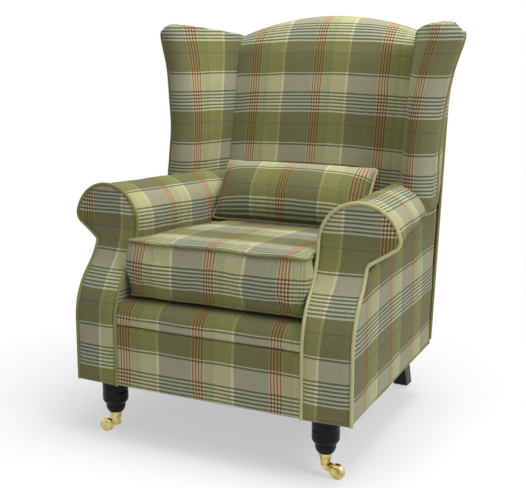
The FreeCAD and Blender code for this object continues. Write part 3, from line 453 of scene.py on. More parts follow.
def grainMaterial(name, light, dark, length, roughness, bump, coat=0.0, specular=0.5):
    material, t, shader = newMaterial(name, {
        "Roughness": roughness, "Coat Weight": coat, "Coat Roughness": 0.06, "Specular IOR Level": specular})
    where = t.node("ShaderNodeTexCoord").outputs["Object"]
    grain = t.node("ShaderNodeGroup", {}, node_tree=grainGroup)
    for label, value in (("Place", where), ("Light", light), ("Dark", dark), ("Length", length)):
        t.feed(grain.inputs[label], value)
    t.feed(shader.inputs["Base Color"], grain.outputs["Color"])
    addBump(t, shader, grain.outputs["Pores"], bump)
    return material


def metalMaterial(name, clean, aged, smooth, worn, metallic=1.0):
    material, t, shader = newMaterial(name, {"Metallic": metallic})
    where = t.node("ShaderNodeTexCoord").outputs["Object"]
    finish = t.node("ShaderNodeGroup", {}, node_tree=tarnishGroup)
    fed = (("Place", where), ("Clean", clean), ("Aged", aged), ("Smooth", smooth), ("Worn", worn))
    for label, value in fed:
        t.feed(finish.inputs[label], value)
    t.feed(shader.inputs["Base Color"], finish.outputs["Color"])
    t.feed(shader.inputs["Roughness"], finish.outputs["Roughness"])
    return material


def plainCloth(name, first, second, scale, bump):
    material, t, shader = newMaterial(name, {"Roughness": 0.95})
    where = t.node("ShaderNodeTexCoord").outputs["Object"]
    bands = t.node("ShaderNodeTexWave", {"Scale": scale, "Distortion": 1.5, "Vector": where},
                   wave_type="BANDS", bands_direction="DIAGONAL").outputs["Fac"]
    t.feed(shader.inputs["Base Color"], t.mix(bands, first, second))
    addBump(t, shader, bands, bump, 0.0005)
    return material


plaidCloth = plaidMaterial("plaidWool", 0.5, 0.06)
pipingCloth = plaidMaterial("pipingWool", 0.35, 0.1)
timber = grainMaterial("frameTimber", colour(205, 170, 120), colour(160, 120, 76), 6, 0.6, 0.15)
lacquer = grainMaterial("blackLacquer", colour(11, 10, 10), colour(5, 5, 5), 9, 0.36, 0.08, 0.08, 0.12)
brass = metalMaterial("agedBrass", colour(226, 210, 146), colour(184, 164, 96), 0.14, 0.34)
springSteel = metalMaterial("springSteel", colour(120, 122, 126), colour(74, 72, 70), 0.3, 0.5)
zinc = metalMaterial("zincSteel", colour(190, 192, 196), colour(140, 142, 146), 0.3, 0.5)
plastic = metalMaterial("blackPlastic", colour(26, 26, 27), colour(34, 34, 35), 0.45, 0.6, 0.0)
lining = plainCloth("blackLining", colour(24, 24, 25), colour(38, 38, 40), 260, 0.3)
webbing = plainCloth("juteWebbing", colour(150, 124, 84), colour(104, 84, 54), 160, 0.6)
print("materials made")


# Arms: the scroll is a loft from the front section to the rear one

arm = {
    "thickness": 0.112,
    "front": {"overhang": 0.082, "top": 0.6045, "tip": 0.025, "neck": 0.016},
    "rear": {"overhang": 0.006, "top": 0.592, "tip": 0.012, "neck": 0.010},
    "loftStart": -0.010,
    "loftLength": 0.730,
    "tipAngle": 14,
    "underAngle": 58,
    "recess": 0.095,         # the S curve that the facing leans back along, and the heights that it spans
    "curveLow": 0.293,
    "curveHigh": 0.525,
    "lap": 0.005,            # the cloth starts this far behind the facing's front
}
armSamples = {"wall": 26, "inner": 20, "outer": 18, "tip": 12, "under": 6, "neck": 6, "panel": 24}
crestIndex = armSamples["wall"] + armSamples["inner"]
neckIndex = crestIndex + armSamples["outer"] + armSamples["tip"] + armSamples["under"] + armSamples["neck"]


def arcPoints(cx, cz, radius, first, last, count):
    turn = np.radians(np.linspace(first, last, count + 1)[:-1])
    return np.stack([cx + radius * np.cos(turn), cz + radius * np.sin(turn)], -1)


def linePoints(a, b, count):
    t = np.linspace(0, 1, count + 1)[:-1, None]
    return np.array(a) * (1 - t) + np.array(b) * t


def armSection(end, grow=0.0):  # outline points (u, z) of the arm's section at one end
    s = arm[end]
    thick = arm["thickness"]
    half = (thick + s["overhang"]) / 2
    crown = s["top"] - half
    a, b = math.radians(arm["tipAngle"]), math.radians(arm["underAngle"])
    tipX, tipZ = half + (half - s["tip"]) * math.cos(a), crown + (half - s["tip"]) * math.sin(a)
    neckX = thick + s["neck"]
    underX, underZ = tipX + s["tip"] * math.cos(b), tipZ - s["tip"] * math.sin(b)
    neckZ = underZ - (s["neck"] - (neckX - underX) * math.cos(b)) / math.sin(b)
    low = chair["base"]
    n = armSamples
    first = (tipX + (s["tip"] + grow) * math.cos(b), tipZ - (s["tip"] + grow) * math.sin(b))
    second = (neckX - (s["neck"] - grow) * math.cos(b), neckZ + (s["neck"] - grow) * math.sin(b))
    return np.concatenate([
        linePoints((-grow, low), (-grow, crown), n["wall"]),
        arcPoints(half, crown, half + grow, 180, 90, n["inner"]),
        arcPoints(half, crown, half + grow, 90, arm["tipAngle"], n["outer"]),
        arcPoints(tipX, tipZ, s["tip"] + grow, arm["tipAngle"], -arm["underAngle"], n["tip"]),
        linePoints(first, second, n["under"]),
        arcPoints(neckX, neckZ, s["neck"] - grow, 180 - arm["underAngle"], 180, n["neck"]),
        linePoints((thick + grow, neckZ), (thick + grow, low), n["panel"]),
        [(thick + grow, low)],
    ])


def armAt(v, grow=0.0):  # section points at a distance along the arm, or at one distance for each point
    w = np.clip((np.asarray(v) - arm["loftStart"]) / arm["loftLength"], 0, 1)[..., None]
    return armSection("front", grow) * (1 - w) + armSection("rear", grow) * w


def facingDepth(z):  # the S curve
    run = arm["curveHigh"] - arm["curveLow"]
    lean = arm["recess"] / run
    radius = run * (1 + lean * lean) / (4 * lean)
    z = np.asarray(z, float)
    low = np.clip(z - arm["curveLow"], 0, run / 2)
    high = np.clip(arm["curveHigh"] - z, 0, run / 2)
    lower = radius - np.sqrt(radius ** 2 - low ** 2)
    upper = arm["recess"] - radius + np.sqrt(radius ** 2 - high ** 2)
    return np.where(z < arm["curveLow"] + run / 2, lower, upper)


def curveLength(z):  # length of cloth up the S curve from the floor
    heights = np.linspace(0, 0.7, 701)
    return np.interp(z, heights, runLength(np.stack([heights, facingDepth(heights)], -1)))


def facingEdge(grow, behind):  # outline of the facing on its S curve: u, v and z of each point
    v = np.full(len(armSection("front")), arm["recess"] / 2)
    for _ in range(4):
        points = armAt(v, grow)
        v = facingDepth(points[:, 1]) + behind
    return points[:, 0], v, points[:, 1]


armCover = {
    "hidden": 8,             # samples at the foot of the inner wall that the seat covers
    "end": 0.652,            # where the cover stops, behind the wing's front
    "closing": [(0.02, 0.002), (0.06, 0.004), (0.3, 0.004), (0.6, 0.004), (0.97, 0.004)],   # share, step back
    "heart": (0.045, 0.075, 0.53),   # the rear end closes toward this stretch of u, no higher than z
    "core": (0.056, 0.52),
    "swells": [(0.0012, 0.11, 5), (0.0007, 0.03, 9)],
    "gather": 0.0016,        # small folds where the cover is sewn to the facing
    "gatherWidth": 0.021,
    "gatherReach": 0.035,
    "gatherFrom": (-0.14, -0.02),
    "red": {-1: 0.248, 1: 0.262},    # where a red stripe crosses the arm
    "pair": {-1: -0.052, 1: -0.070},   # arc from the crest to the pale line on the inner face
    "acrossScale": {-1: 1.0, 1: 1.04},
    "alongScale": 1.15,      # the cloth's stripes stand closer along the arm
}


def buildArmCover(side, name):  # up the inner wall, over the scroll and in under it to the neck
    c = armCover
    keep = slice(c["hidden"], neckIndex + 1)
    frontV = facingDepth(armSection("front")[:, 1]) + arm["lap"]
    rows = []
    for t in np.r_[np.linspace(0, 0.05, 6)[:-1], np.linspace(0.05, 1, 64)]:
        v = frontV + t * (c["end"] - frontV)
        rows.append(np.concatenate([armAt(v), v[:, None]], 1)[keep])
    last = rows[-1]
    nearest, furthest, highest = c["heart"]
    heart = np.stack([np.clip(last[:, 0], nearest, furthest), np.minimum(last[:, 1], highest)], -1)
    for share, stepBack in c["closing"]:   # the rear end closes flat, with an eased edge
        row = last.copy()
        row[:, :2] = row[:, :2] * (1 - share) + heart * share
        row[:, 2] += stepBack
        rows.append(row)
    rows = np.array(rows)
    u, z, v = rows[..., 0], rows[..., 1], rows[..., 2]
    arc = runLength(rows[..., :2], axis=1)
    arc -= arc[:, crestIndex - c["hidden"]][:, None]
    points = armToChair(side, u, v, z)
    outward = points - armToChair(side, 0 * u + c["core"][0], v, 0 * z + c["core"][1])
    outward /= np.linalg.norm(outward, axis=-1)[..., None]
    nearFront = np.exp(-(v - frontV[keep][None]) / c["gatherReach"])
    wave = np.sin(arc * 2 * pi / c["gatherWidth"] + 2 * softNoise(points, 0.1, 3))
    gathers = c["gather"] * nearFront * wave * smoothStep(*c["gatherFrom"], arc)
    points = points + outward * (uneven(points, c["swells"], side) * (1 - nearFront) + gathers)[..., None]
    warp = (v - c["red"][side]) * c["alongScale"]
    weft = (arc - c["pair"][side]) * c["acrossScale"][side]
    store = newStore()
    addPatch(store, points, np.stack([warp, weft], -1), flip=side > 0)
    dress(makeObject(f"armCover_{name}", store), plaidCloth, "chair", f"arm_pad_{name}")


outsideArm = {
    "end": 0.66,
    "sunk": 0.0015,          # the panel's edges lie in behind the piping
    "pad": 0.0045,
    "edges": (2.5, 1.5),     # samples that the padding takes to rise, along and down
    "pastRear": 0.002,
    "swells": [(0.0012, 0.16, 21)],
    "red": 0.092,
    "warpScale": 1.03,
    "pair": 0.4135,
    "weftScale": 0.91,
    "dip": 0.010,            # the lines sink a little toward the front
}


def buildOutsideArm(side, name):  # from the neck down, a little padded
    c = outsideArm
    steps, drops = 60, 40
    down = np.linspace(0, 1, drops)
    rows = []
    for t in np.linspace(0, 1, steps):
        z0 = armAt(t * c["end"])[neckIndex, 1]
        z = z0 + (chair["base"] + 0.001 - z0) * down
        first = facingDepth(z) + arm["lap"]
        last = (rearPlane(z, -c["pastRear"]) - arm["thickness"] * math.sin(toe)) / math.cos(toe)
        ends = min(t, 1 - t) * steps / c["edges"][0]
        edge = np.minimum(ends, np.minimum(down, 1 - down) * drops / c["edges"][1])
        u = arm["thickness"] - c["sunk"] + c["pad"] * np.clip(edge, 0, 1) ** 0.5
        rows.append(armToChair(side, u, first + t * (last - first), z))
    points = np.array(rows)
    push = armToChair(side, 1, 0, 0) - armToChair(side, 0, 0, 0)
    points = points + push * uneven(points, c["swells"], side)[..., None]
    y = points[..., 1]
    warp = (y - c["red"]) * c["warpScale"]
    weft = (points[..., 2] - c["pair"] + c["dip"] * smoothStep(0.25, 0.0, y)) * c["weftScale"]
    store = newStore()
    addPatch(store, points, np.stack([warp, weft], -1), flip=side < 0)
    piece = makeObject(f"outsideArm_{name}", store)
    dress(piece, plaidCloth, "chair", f"outside_arm_{name}")


armFacing = {
    "inset": 0.0025,         # from the arm's outline, under the piping
    "pad": 0.0048,
    "padRise": 0.007,        # distance from the edge over which the padding rises
    "sunk": 0.0015,
    "turn": 0.5,             # height where the rows begin to crowd toward the crest
    "cream": {-1: -0.283, 1: 0.275},   # where the cream stripe runs, and how much it leans
    "shear": {-1: 0.02, 1: 0.04},
    "creamFromRed": 0.0859,
    "pair": 0.288,
    "weftScale": 0.975,
    "swells": [(0.0007, 0.07, 31)],
    "piping": 0.0043,
    # painted shade and painted light: both pipings are one cloth, but the left one is cut from the olive band
    # as painted shade and the right one from the pale band as painted light
    "band": {-1: "olive", 1: "pale"},
}


def buildArmFacing(side, name):  # a padded front that follows the S curve, with piping round it
    c = armFacing
    u, _, z = facingEdge(-c["inset"], 0.0)
    top = z.max()
    low = chair["base"]
    crowded = c["turn"] + (top - c["turn"] - 0.0005) * np.sin(np.linspace(0, pi / 2, 34))
    heights = np.r_[np.linspace(low, c["turn"], 60)[:-1], crowded]
    inner = np.interp(heights, z[:crestIndex + 1], u[:crestIndex + 1])[:, None]
    outer = np.interp(heights, z[crestIndex:][::-1], u[crestIndex:][::-1])[:, None]
    u = inner + (outer - inner) * (1 - np.cos(np.linspace(0, pi, 27))) / 2
    z = heights[:, None] + 0 * u
    edge = np.minimum(u - inner, outer - u)
    edge = np.minimum(edge, np.minimum((top - z) * 1.2, (z - low) * 1.5))
    pad = c["pad"] * (1 - np.exp(-edge / c["padRise"])) - c["sunk"]
    points = armToChair(side, u, facingDepth(z) + 0.001 - pad, z)
    points[..., 1] += uneven(points, c["swells"], side)
    warp = side * (points[..., 0] - c["cream"][side] - c["shear"][side] * (z - 0.2)) + c["creamFromRed"]
    weft = (curveLength(z) - curveLength(c["pair"])) * c["weftScale"]
    store = newStore()
    addPatch(store, points, np.stack([warp, weft], -1), flip=side < 0)
    piece = makeObject(f"armFacing_{name}", store)
    dress(piece, plaidCloth, "chair", f"arm_facing_{name}")
    store = newStore()
    u, v, z = facingEdge(0.0005, 0.0025)
    # the band picked for each side paints shade on the left piping and light on the right one
    addTube(store, armToChair(side, u, v, z), c["piping"], c["band"][side])
    dress(makeObject(f"armPiping_{name}", store), pipingCloth, "chair", f"arm_piping_{name}")


for side, name in ((-1, "left"), (1, "right")):
    buildArmCover(side, name)
    buildOutsideArm(side, name)
    buildArmFacing(side, name)
print("arms built")


# Wings: sections that flare outward and lean back as they rise

wing = {
    "levels": [0.452, 0.550, 0.680, 0.830, 1.015],
    "inner": [0.296, 0.295, 0.294, 0.306, 0.350],
    "edge": [0.040, 0.074, 0.074, 0.076, 0.080],
    "frontLow": 0.440,
    "frontHigh": 0.500,
    "high": 0.985,
    "halfBack": 0.253,
    "corner": 0.325,
    "shoulder": 0.960,
    "topSlope": 8.5,
    "nose": 0.048,         # radii of the front edge, the inner side and the outer side near the top
    "crown": 0.420,
    "outer": 0.330,
    "flatten": 1.6,        # how the outer side flattens below this height
    "flattenFrom": 0.93,
    "round": 0.024,        # radius of the top's outer edge, and of the rest of it
    "roundInner": 0.005,
    "turns": (25, 50, 72, 90),
    "crest": 0.004,        # height of the top's middle over its rim
    "tuck": -0.004,        # the foot stays inside the arm up to here, then the wing stands free
    "free": (0.50, 0.64),
    "swells": [(0.0016, 0.13, 41), (0.0006, 0.035, 43)],
    "fill": 0.7,
    "piping": 0.0042,
    "pair": 0.860,
    "inside": {-1: -0.010, 1: 0.026},   # where the red stripes stand inside, from the nose
    "outside": 0.02,
    "seam": {-1: 0, 1: 5},   # samples past the nose where the inside cover meets the outside one
}
wingSamples = {"nose": 16, "outer": 22, "rear": 5, "deep": 5, "inner": 24, "rows": 46}
backFace = {"foot": 0.535, "head": 0.648, "low": 0.352, "high": 0.950}


def backFront(z):  # depth of the inside back's front face
    slope = (backFace["head"] - backFace["foot"]) / (backFace["high"] - backFace["low"])
    return backFace["foot"] + (z - backFace["low"]) * slope


def bowed(a, b, radius, count):  # an arc from a to b that bows to the right of the way from a to b
    a, b = np.array(a), np.array(b)
    chord = b - a
    half = np.linalg.norm(chord) / 2
    normal = np.array([-chord[1], chord[0]]) / (2 * half)
    centre = (a + b) / 2 + normal * math.sqrt(max(radius ** 2 - half ** 2, 0))
    first = math.atan2(a[1] - centre[1], a[0] - centre[0])
    last = math.atan2(b[1] - centre[1], b[0] - centre[0])
    if last < first:
        last += 2 * pi
    angles = np.linspace(first, last, count + 1)[:-1]
    return centre + radius * np.stack([np.cos(angles), np.sin(angles)], -1)


def wingCorners(z):
    foot = wing["levels"][0]
    z = min(max(z, foot), wing["levels"][-1])
    inner = float(throughLevels(wing["levels"], wing["inner"], np.array(z)))
    edge = float(throughLevels(wing["levels"], wing["edge"], np.array(z)))
    front = wing["frontLow"] + (z - foot) * (wing["frontHigh"] - wing["frontLow"]) / (wing["high"] - foot)
    drop = (wing["shoulder"] - z) / (wing["shoulder"] - foot)
    rear = wing["corner"] - (wing["corner"] - across(arm["thickness"], chair["backDepth"])) * drop
    return ((inner, front), (inner + edge, front), (rear, rearPlane(z)), (wing["halfBack"], rearPlane(z)),
            (wing["halfBack"], backFront(z)))


def wingSection(z):
    a, b, c, d, j = wingCorners(z)
    n = wingSamples
    half = np.linalg.norm(np.array(b) - np.array(a)) / 2
    nose = max(wing["nose"], half * 1.02) if half > 0.03 else half * 1.1
    return np.concatenate([
        bowed(a, b, nose, n["nose"]),
        bowed(b, c, wing["outer"] + wing["flatten"] * max(0.0, wing["flattenFrom"] - z), n["outer"]),
        linePoints(c, d, n["rear"]),
        linePoints(d, j, n["deep"]),
        bowed(j, a, wing["crown"], n["inner"]),
    ])


def wingTop(y):
    return wing["shoulder"] + (backFront(wing["shoulder"]) - y) * math.tan(math.radians(wing["topSlope"]))


def wingRows():  # rows of the right wing's surface: up its sides, round the rim and in over the top
    n = wingSamples
    foot = wing["levels"][0]
    levels = np.linspace(foot, 1.0, 70)
    table = np.array([wingSection(z) for z in levels])
    count = table.shape[1]

    def at(heights):  # each section point at its own height
        heights = np.clip(heights, levels[0], levels[-1])
        return np.array([[np.interp(heights[k], levels, table[:, k, i]) for i in (0, 1)]
                         for k in range(count)])

    tops = np.full(count, 0.97)
    for _ in range(6):
        tops = wingTop(at(tops)[:, 1])
    spots = np.arange(count)
    rearEnd = n["nose"] + n["outer"]
    outer = smoothStep(-2, 3, spots) * smoothStep(rearEnd - 1, n["nose"] + 10, spots)
    ease = wing["roundInner"] + (wing["round"] - wing["roundInner"]) * outer
    rows = []
    for share in np.linspace(0, 1, n["rows"]):
        z = foot + share * (tops - ease - foot)
        rows.append(np.concatenate([at(z), z[:, None]], 1))
    rim = rows[-1].copy()
    tangent = np.roll(rim[:, :2], -1, 0) - np.roll(rim[:, :2], 1, 0)
    normal = np.stack([-tangent[:, 1], tangent[:, 0]], -1)
    normal /= np.linalg.norm(normal, axis=1)[:, None] + 1e-9
    normal *= np.sign(((rim[:, :2].mean(0) - rim[:, :2]) * normal).sum(1))[:, None]
    for turn in np.radians(wing["turns"]):
        row = rim.copy()
        row[:, :2] += normal * (ease * (1 - math.cos(turn)))[:, None]
        row[:, 2] += ease * math.sin(turn)
        rows.append(row)
    rim = rows[-1].copy()
    noseMid = rim[n["nose"] // 2, :2]
    spine = rim[rearEnd + 2:rearEnd + 4, :2].mean(0) - noseMid
    along = np.clip(((rim[:, :2] - noseMid) @ spine) / (spine @ spine), 0.12, 0.9)
    medial = noseMid + along[:, None] * spine
    middle = np.concatenate([medial, (wingTop(medial[:, 1]) + wing["crest"])[:, None]], 1)
    rows += [rim * (1 - share) + middle * share for share in (0.25, 0.5, 0.75, 1.0)]
    rows = np.array(rows)
    tuck = across(arm["thickness"] + wing["tuck"], rows[..., 1])
    tuck += 0.2 * smoothStep(*wing["free"], rows[..., 2])
    rows[..., 0] = np.minimum(rows[..., 0], tuck)
    return rows


def closed(table):  # repeats the first column after the last one
    return np.concatenate([table, table[:, :1]], 1)


def buildWing(side, name):
    n = wingSamples
    rows = wingRows()
    points = rows * (side, 1, 1)
    middle = rows[:n["rows"], :, :2].mean(1) * (side, 1)
    middle = np.concatenate([middle, np.repeat(middle[-1:], len(rows) - n["rows"], 0)])
    away = points[..., :2] - middle[:, None]
    away /= np.linalg.norm(away, axis=-1)[..., None] + 1e-9
    puff = uneven(points, wing["swells"], side) * smoothStep(0.5, 0.62, rows[..., 2])
    points[..., :2] += away * puff[..., None]

    # the inside cover's cloth is measured from the nose, and the outside cover's from the seam
    seam = n["nose"] + wing["seam"][side]
    arc = runLength(closed(rows)[30:31, :, :2], axis=1)
    columns = np.arange(arc.shape[1])
    inside = (columns <= seam) | (columns >= n["nose"] + n["outer"] + n["rear"] + n["deep"])
    inner = np.where(columns <= seam, -arc, arc[:, -1:] - arc) + wing["inside"][side]
    warp = np.where(inside, inner, (arc - arc[:, seam:seam + 1]) * side + wing["outside"])
    weft = closed(rows)[..., 2] - wing["pair"]
    cloth = np.stack([warp + 0 * weft, weft], -1)

    # the cloth of the inside cover runs on over the top
    start = n["rows"] + 1
    a, j = (np.array(wingCorners(wing["shoulder"])[k]) for k in (0, 4))
    inward = (j - a) / np.linalg.norm(j - a)
    over = np.abs(points[start:, :, :2]) - a
    capWarp = over @ inward + wing["inside"][side]
    capWeft = wingTop(points[start:, :, 1]) - wing["pair"] + over @ np.array([inward[1], -inward[0]])
    store = newStore()
    addPatch(store, points[:start + 1], cloth[:start + 1], wrap=True, flip=side < 0)
    addPatch(store, points[start:], closed(np.stack([capWarp, capWeft], -1)), wrap=True, flip=side < 0)
    cover = makeObject(f"wingCover_{name}", store)
    dress(cover, plaidCloth, "chair", f"wing_pad_{name}")

    # piping up the front edge and back along the top, between the inside and the outside cover
    path = [points[i, seam] for i in range(4, start)]
    path += [points[n["rows"], k] for k in range(seam + 1, n["nose"] + n["outer"] + 1)]
    store = newStore()
    addTube(store, smoothPath(path, 150), wing["piping"], "olive")
    dress(makeObject(f"wingPiping_{name}", store), pipingCloth, "chair")


def smoothPath(path, count):  # even steps along a path, with its corners eased
    path = np.array(path, float)
    length = runLength(path)
    steps = np.linspace(0, length[-1], count)
    even = np.stack([np.interp(steps, length, path[:, i]) for i in range(3)], -1)
    for _ in range(3):
        even[1:-1] = (even[:-2] + 2 * even[1:-1] + even[2:]) / 4
    return even


for side, name in ((-1, "left"), (1, "right")):
    buildWing(side, name)
print("wings built")


# The back: a padded inside that rolls over the arched crest, and a flat outside panel

back = {
    "half": 0.253,
    "shoulder": 0.960,
    "corner": 0.325,
    "cornerDrop": 0.012,
    "low": 0.352,
    "roll": 0.062,           # depth and height of the roll over the crest
    "rollLean": 0.0665,      # share of the roll that the leaning back adds
    "crown": 0.012,
    "crownHalf": 0.256,
    "crownFrom": (0.36, 0.50),
    "crownTo": (0.97, 0.90),
    "gap": 0.0005,
    "behind": 0.002,         # the cloth ends this far in front of the rear plane
    "pair": 0.860,
    "warp": -0.005,
    "warpScale": 1.005,
    "weftScale": 0.985,
    "bow": 0.010,            # at bowHalf, the weave droops toward the wings
    "bowHalf": 0.25,
    "swells": [(0.0018, 0.16, 51), (0.0006, 0.04, 52)],
}
rise = chair["height"] - back["shoulder"]
archRadius = (back["half"] ** 2 + rise ** 2) / (2 * rise)


def archTop(x):
    inside = np.clip(np.abs(x), 0, back["half"])
    arch = back["shoulder"] + np.sqrt(archRadius ** 2 - inside ** 2) - (archRadius - rise)
    beyond = np.clip((np.abs(x) - back["half"]) / (back["corner"] - back["half"]), 0, 1)
    return arch - beyond * back["cornerDrop"]


def buildInsideBack():
    faceRows, flatRows = 50, 5
    turn = np.linspace(0, pi / 2, 15)[1:]
    half = back["half"] - back["gap"]
    lean = back["rollLean"] * back["roll"]
    rows = []
    for x in np.linspace(-half, half, 61):
        top = float(archTop(x))
        low = top - back["roll"]
        face = np.linspace(back["low"], low, faceRows)
        rollY = backFront(low) + back["roll"] * (1 - np.cos(turn)) + lean * np.sin(turn)
        rollZ = low + back["roll"] * np.sin(turn)
        flatY = np.linspace(rollY[-1], rearPlane(top) + back["behind"], flatRows + 1)[1:]
        flatZ = top - back["behind"] * np.linspace(0, 1, flatRows)
        y = np.r_[backFront(face), rollY, flatY]
        rows.append(np.stack([np.full(len(y), x), y, np.r_[face, rollZ, flatZ]], -1))
    points = np.array(rows)
    length = runLength(points, axis=1)
    pairLength = np.interp(back["pair"], points[30, :faceRows, 2], length[30, :faceRows])
    x, z = points[..., 0], points[..., 2]
    edge = 1 - np.abs(x / back["crownHalf"]) ** 3.5
    fade = smoothStep(*back["crownTo"], z)
    points[..., 1] -= back["crown"] * edge * fade * smoothStep(*back["crownFrom"], z)
    points[..., 1] += uneven(points, back["swells"]) * fade
    bow = back["bow"] * (x / back["bowHalf"]) ** 2
    warp, weft = (x - back["warp"]) * back["warpScale"], (length - pairLength + bow) * back["weftScale"]
    store = newStore()
    addPatch(store, points, np.stack([warp, weft], -1))
    dress(makeObject("insideBackCover", store), plaidCloth, "chair", "inside_back")


outsideBack = {
    "foot": 0.1425,
    "halfFoot": 0.3137,
    "thick": 0.009,
    "below": 0.004,          # the panel ends this far under the crest's line
    "edge": 0.035,           # share of the panel over which its edges fall away
    "pad": 0.0015,
    "fall": 0.004,
    "tuckFrom": (0.90, 0.93),   # the top edge tucks in under the crest and the wings
    "tuckIn": 0.016,
    "tuckDown": 0.006,
    "swells": [(0.0010, 0.2, 61)],
    "piping": 0.0042,
}


def buildOutsideBack():
    c = outsideBack
    columns = np.linspace(-1, 1, 61)
    rows = []
    for b in np.linspace(0, 1, 60):
        x = columns * (c["halfFoot"] + (back["corner"] - c["halfFoot"]) * b)
        z = c["foot"] + b * (archTop(x) - c["below"] - c["foot"])
        edge = np.minimum(1 - np.abs(columns), min(b, 1 - b) * 1.3) / c["edge"]
        y = rearPlane(z, -c["thick"]) + c["pad"] * np.clip(edge, 0, 1) ** 0.5
        rows.append(np.stack([x, y - c["fall"] * (1 - np.clip(edge * 1.5, 0, 1)) ** 2, z], -1))
    points = np.array(rows)
    points[..., 1] += uneven(points, c["swells"])
    cloth = np.stack([back["warp"] - points[..., 0], points[..., 2] - back["pair"]], -1)
    store = newStore()
    addPatch(store, points, cloth, flip=True)
    loop = np.concatenate([points[:, 0], points[-1, 1:], points[::-1, -1][1:], points[0, ::-1][1:-1]])
    deep = loop.copy()
    atTop = smoothStep(*c["tuckFrom"], deep[:, 2])
    deep[:, 1] = rearPlane(deep[:, 2], c["tuckIn"] * atTop)
    deep[:, 2] -= c["tuckDown"] * atTop
    length = runLength(np.concatenate([loop, loop[:1]]))
    border = np.stack([np.stack([length, 0 * length + side], -1) for side in (0, c["thick"])])
    addPatch(store, np.stack([loop, deep]), border, wrap=True)
    dress(makeObject("outsideBackCover", store), plaidCloth, "chair", "outside_back")
    trail = np.concatenate([points[1:, 0], points[-1, 1:], points[::-1, -1][1:-1]])
    trail[:, 1] = rearPlane(trail[:, 2], -c["thick"] / 2)
    store = newStore()
    addTube(store, smoothPath(trail, 330), c["piping"], "olive")
    dress(makeObject("backPiping", store), pipingCloth, "chair")


buildInsideBack()
buildOutsideBack()
print("back built")


# Front border with the rolled lip above it

front = {
    "border": 0.006,
    "borderTop": 0.288,
    "borderEase": 0.012,
    "borderPad": 0.005,
    "hem": 0.014,
    "lipTop": 0.352,
    "lipDepth": 0.100,
    "lipFoot": (0.012, 0.2865),   # y and z where the lip's cloth tucks in behind the border
    "nose": 0.043,
    "noseDepth": 0.026,
    "sink": 0.010,         # the cushion's weight and the seam draw the lip's edge down
    "side": 0.0005,        # the cloth meets the arms
    "pair": 0.240,
    "lipPair": 0.030,
    "warp": -0.018,
    "warpScale": 0.957,
    "weftScale": 0.97,
    "borderSwells": [(0.0008, 0.12, 71)],
    "lipSwells": [(0.0010, 0.10, 73)],
}


def frontWarp(points):
    return (points[..., 0] - front["warp"]) * front["warpScale"]


def buildFront():
    a = np.linspace(-1, 1, 71)
    top, border = front["borderTop"], front["border"]
    rows = []
    for z in np.linspace(chair["base"], top, 30):
        edge = min((z - chair["base"]) / front["borderEase"], (top - z) / front["borderEase"], 1)
        y = border + 0.0015 - front["borderPad"] * max(edge, 0) ** 0.5
        rows.append(np.stack([a * (across(0, border) + front["side"]), 0 * a + y, 0 * a + z], -1))
    points = np.array(rows)
    points[..., 1] += uneven(points, front["borderSwells"])
    cloth = np.stack([frontWarp(points), (points[..., 2] - front["pair"]) * front["weftScale"]], -1)
    store = newStore()
    addPatch(store, points, cloth)
    addPatch(store, np.stack([points[0] + (0, front["hem"], 0), points[0]]),
             np.stack([cloth[0] - (0, front["hem"]), cloth[0]]))
    dress(makeObject("frontBorderCover", store), plaidCloth, "chair", "front_border")

    pressed = front["lipTop"] - front["sink"]
    lip = bowed((border + front["noseDepth"], pressed), (border, top + 0.002), front["nose"], 16)[::-1]
    rear = (front["lipDepth"], front["lipTop"] - 0.001)
    flat = linePoints((border + front["noseDepth"] + 0.002, pressed), rear, 14)
    profile = np.concatenate([[front["lipFoot"]], lip, flat, [rear]])
    points = np.array([np.stack([a * (across(0, y) + front["side"]), 0 * a + y, 0 * a + z], -1)
                       for y, z in profile])
    points[..., 1] += uneven(points, front["lipSwells"])
    weft = runLength(profile)[:, None] + 0 * points[..., 0] - front["lipPair"]
    store = newStore()
    addPatch(store, points, np.stack([frontWarp(points), weft], -1))
    dress(makeObject("seatLipCover", store), plaidCloth, "chair", "seat_lip")


buildFront()
print("front border built")


# The padded deck under the loose cushion, in lining cloth

deck = {
    "front": 0.090,
    "rear": 0.611,
    "low": 0.2887,
    "high": 0.352,
    "gap": 0.0005,
    "edge": 0.007,         # radius of its long edges
    "dipHalf": 0.24,
    "dip": 0.005,          # how far the cushion's weight has pressed the middle down
    "seam": 0.118,         # where the deck cloth is sewn to the lip's cover
    "seamDepth": 0.0025,
    "seamWidth": 0.0035,
    "swells": [(0.0010, 0.09, 77)],
}


def buildDeck():
    low, high, edge = deck["low"], deck["high"], deck["edge"]
    pastSeam = deck["seam"] + 0.012
    rim = np.concatenate([linePoints((0, low), (0, high - edge), 5),
                          arcPoints(edge, high - edge, edge, 180, 90, 6)])
    rows = []
    for y in np.r_[np.linspace(deck["front"], pastSeam, 22)[:-1], np.linspace(pastSeam, deck["rear"], 40)]:
        half = across(0, y) - deck["gap"]
        left = rim - (half, 0)
        flat = linePoints((edge - half, high), (half - edge, high), 40)
        rows.append(np.insert(np.concatenate([left, flat, left[::-1] * (-1, 1)]), 1, y, axis=1))
    points = np.array(rows)
    x, y, z = points[..., 0], points[..., 1], points[..., 2]
    along = np.clip((y - deck["front"]) / (deck["rear"] - deck["front"]), 0, 1)
    dip = deck["dip"] * (1 - (x / deck["dipHalf"]) ** 2) * np.sin(along * pi)
    seam = deck["seamDepth"] * np.exp(-((y - deck["seam"]) / deck["seamWidth"]) ** 2)
    points[..., 2] = z - smoothStep(high - edge, high, z) * (dip + seam + uneven(points, deck["swells"]))
    store = newStore()
    addPatch(store, points, np.stack([x, y], -1), flip=True)
    under = points[:, [0, -1]]
    addPatch(store, under, under[..., :2])
    dress(makeObject("seatDeckCover", store), lining, "chair", "seat_deck")


buildDeck()
print("seat deck built")


# Cushions: swelled by a cloth simulation, then piped along the seams that it leaves

swelling = {"frames": 20, "quality": 6, "mass": 0.3, "stretch": 25}


def placesOf(mesh):
    return np.array([v.co for v in mesh.vertices])


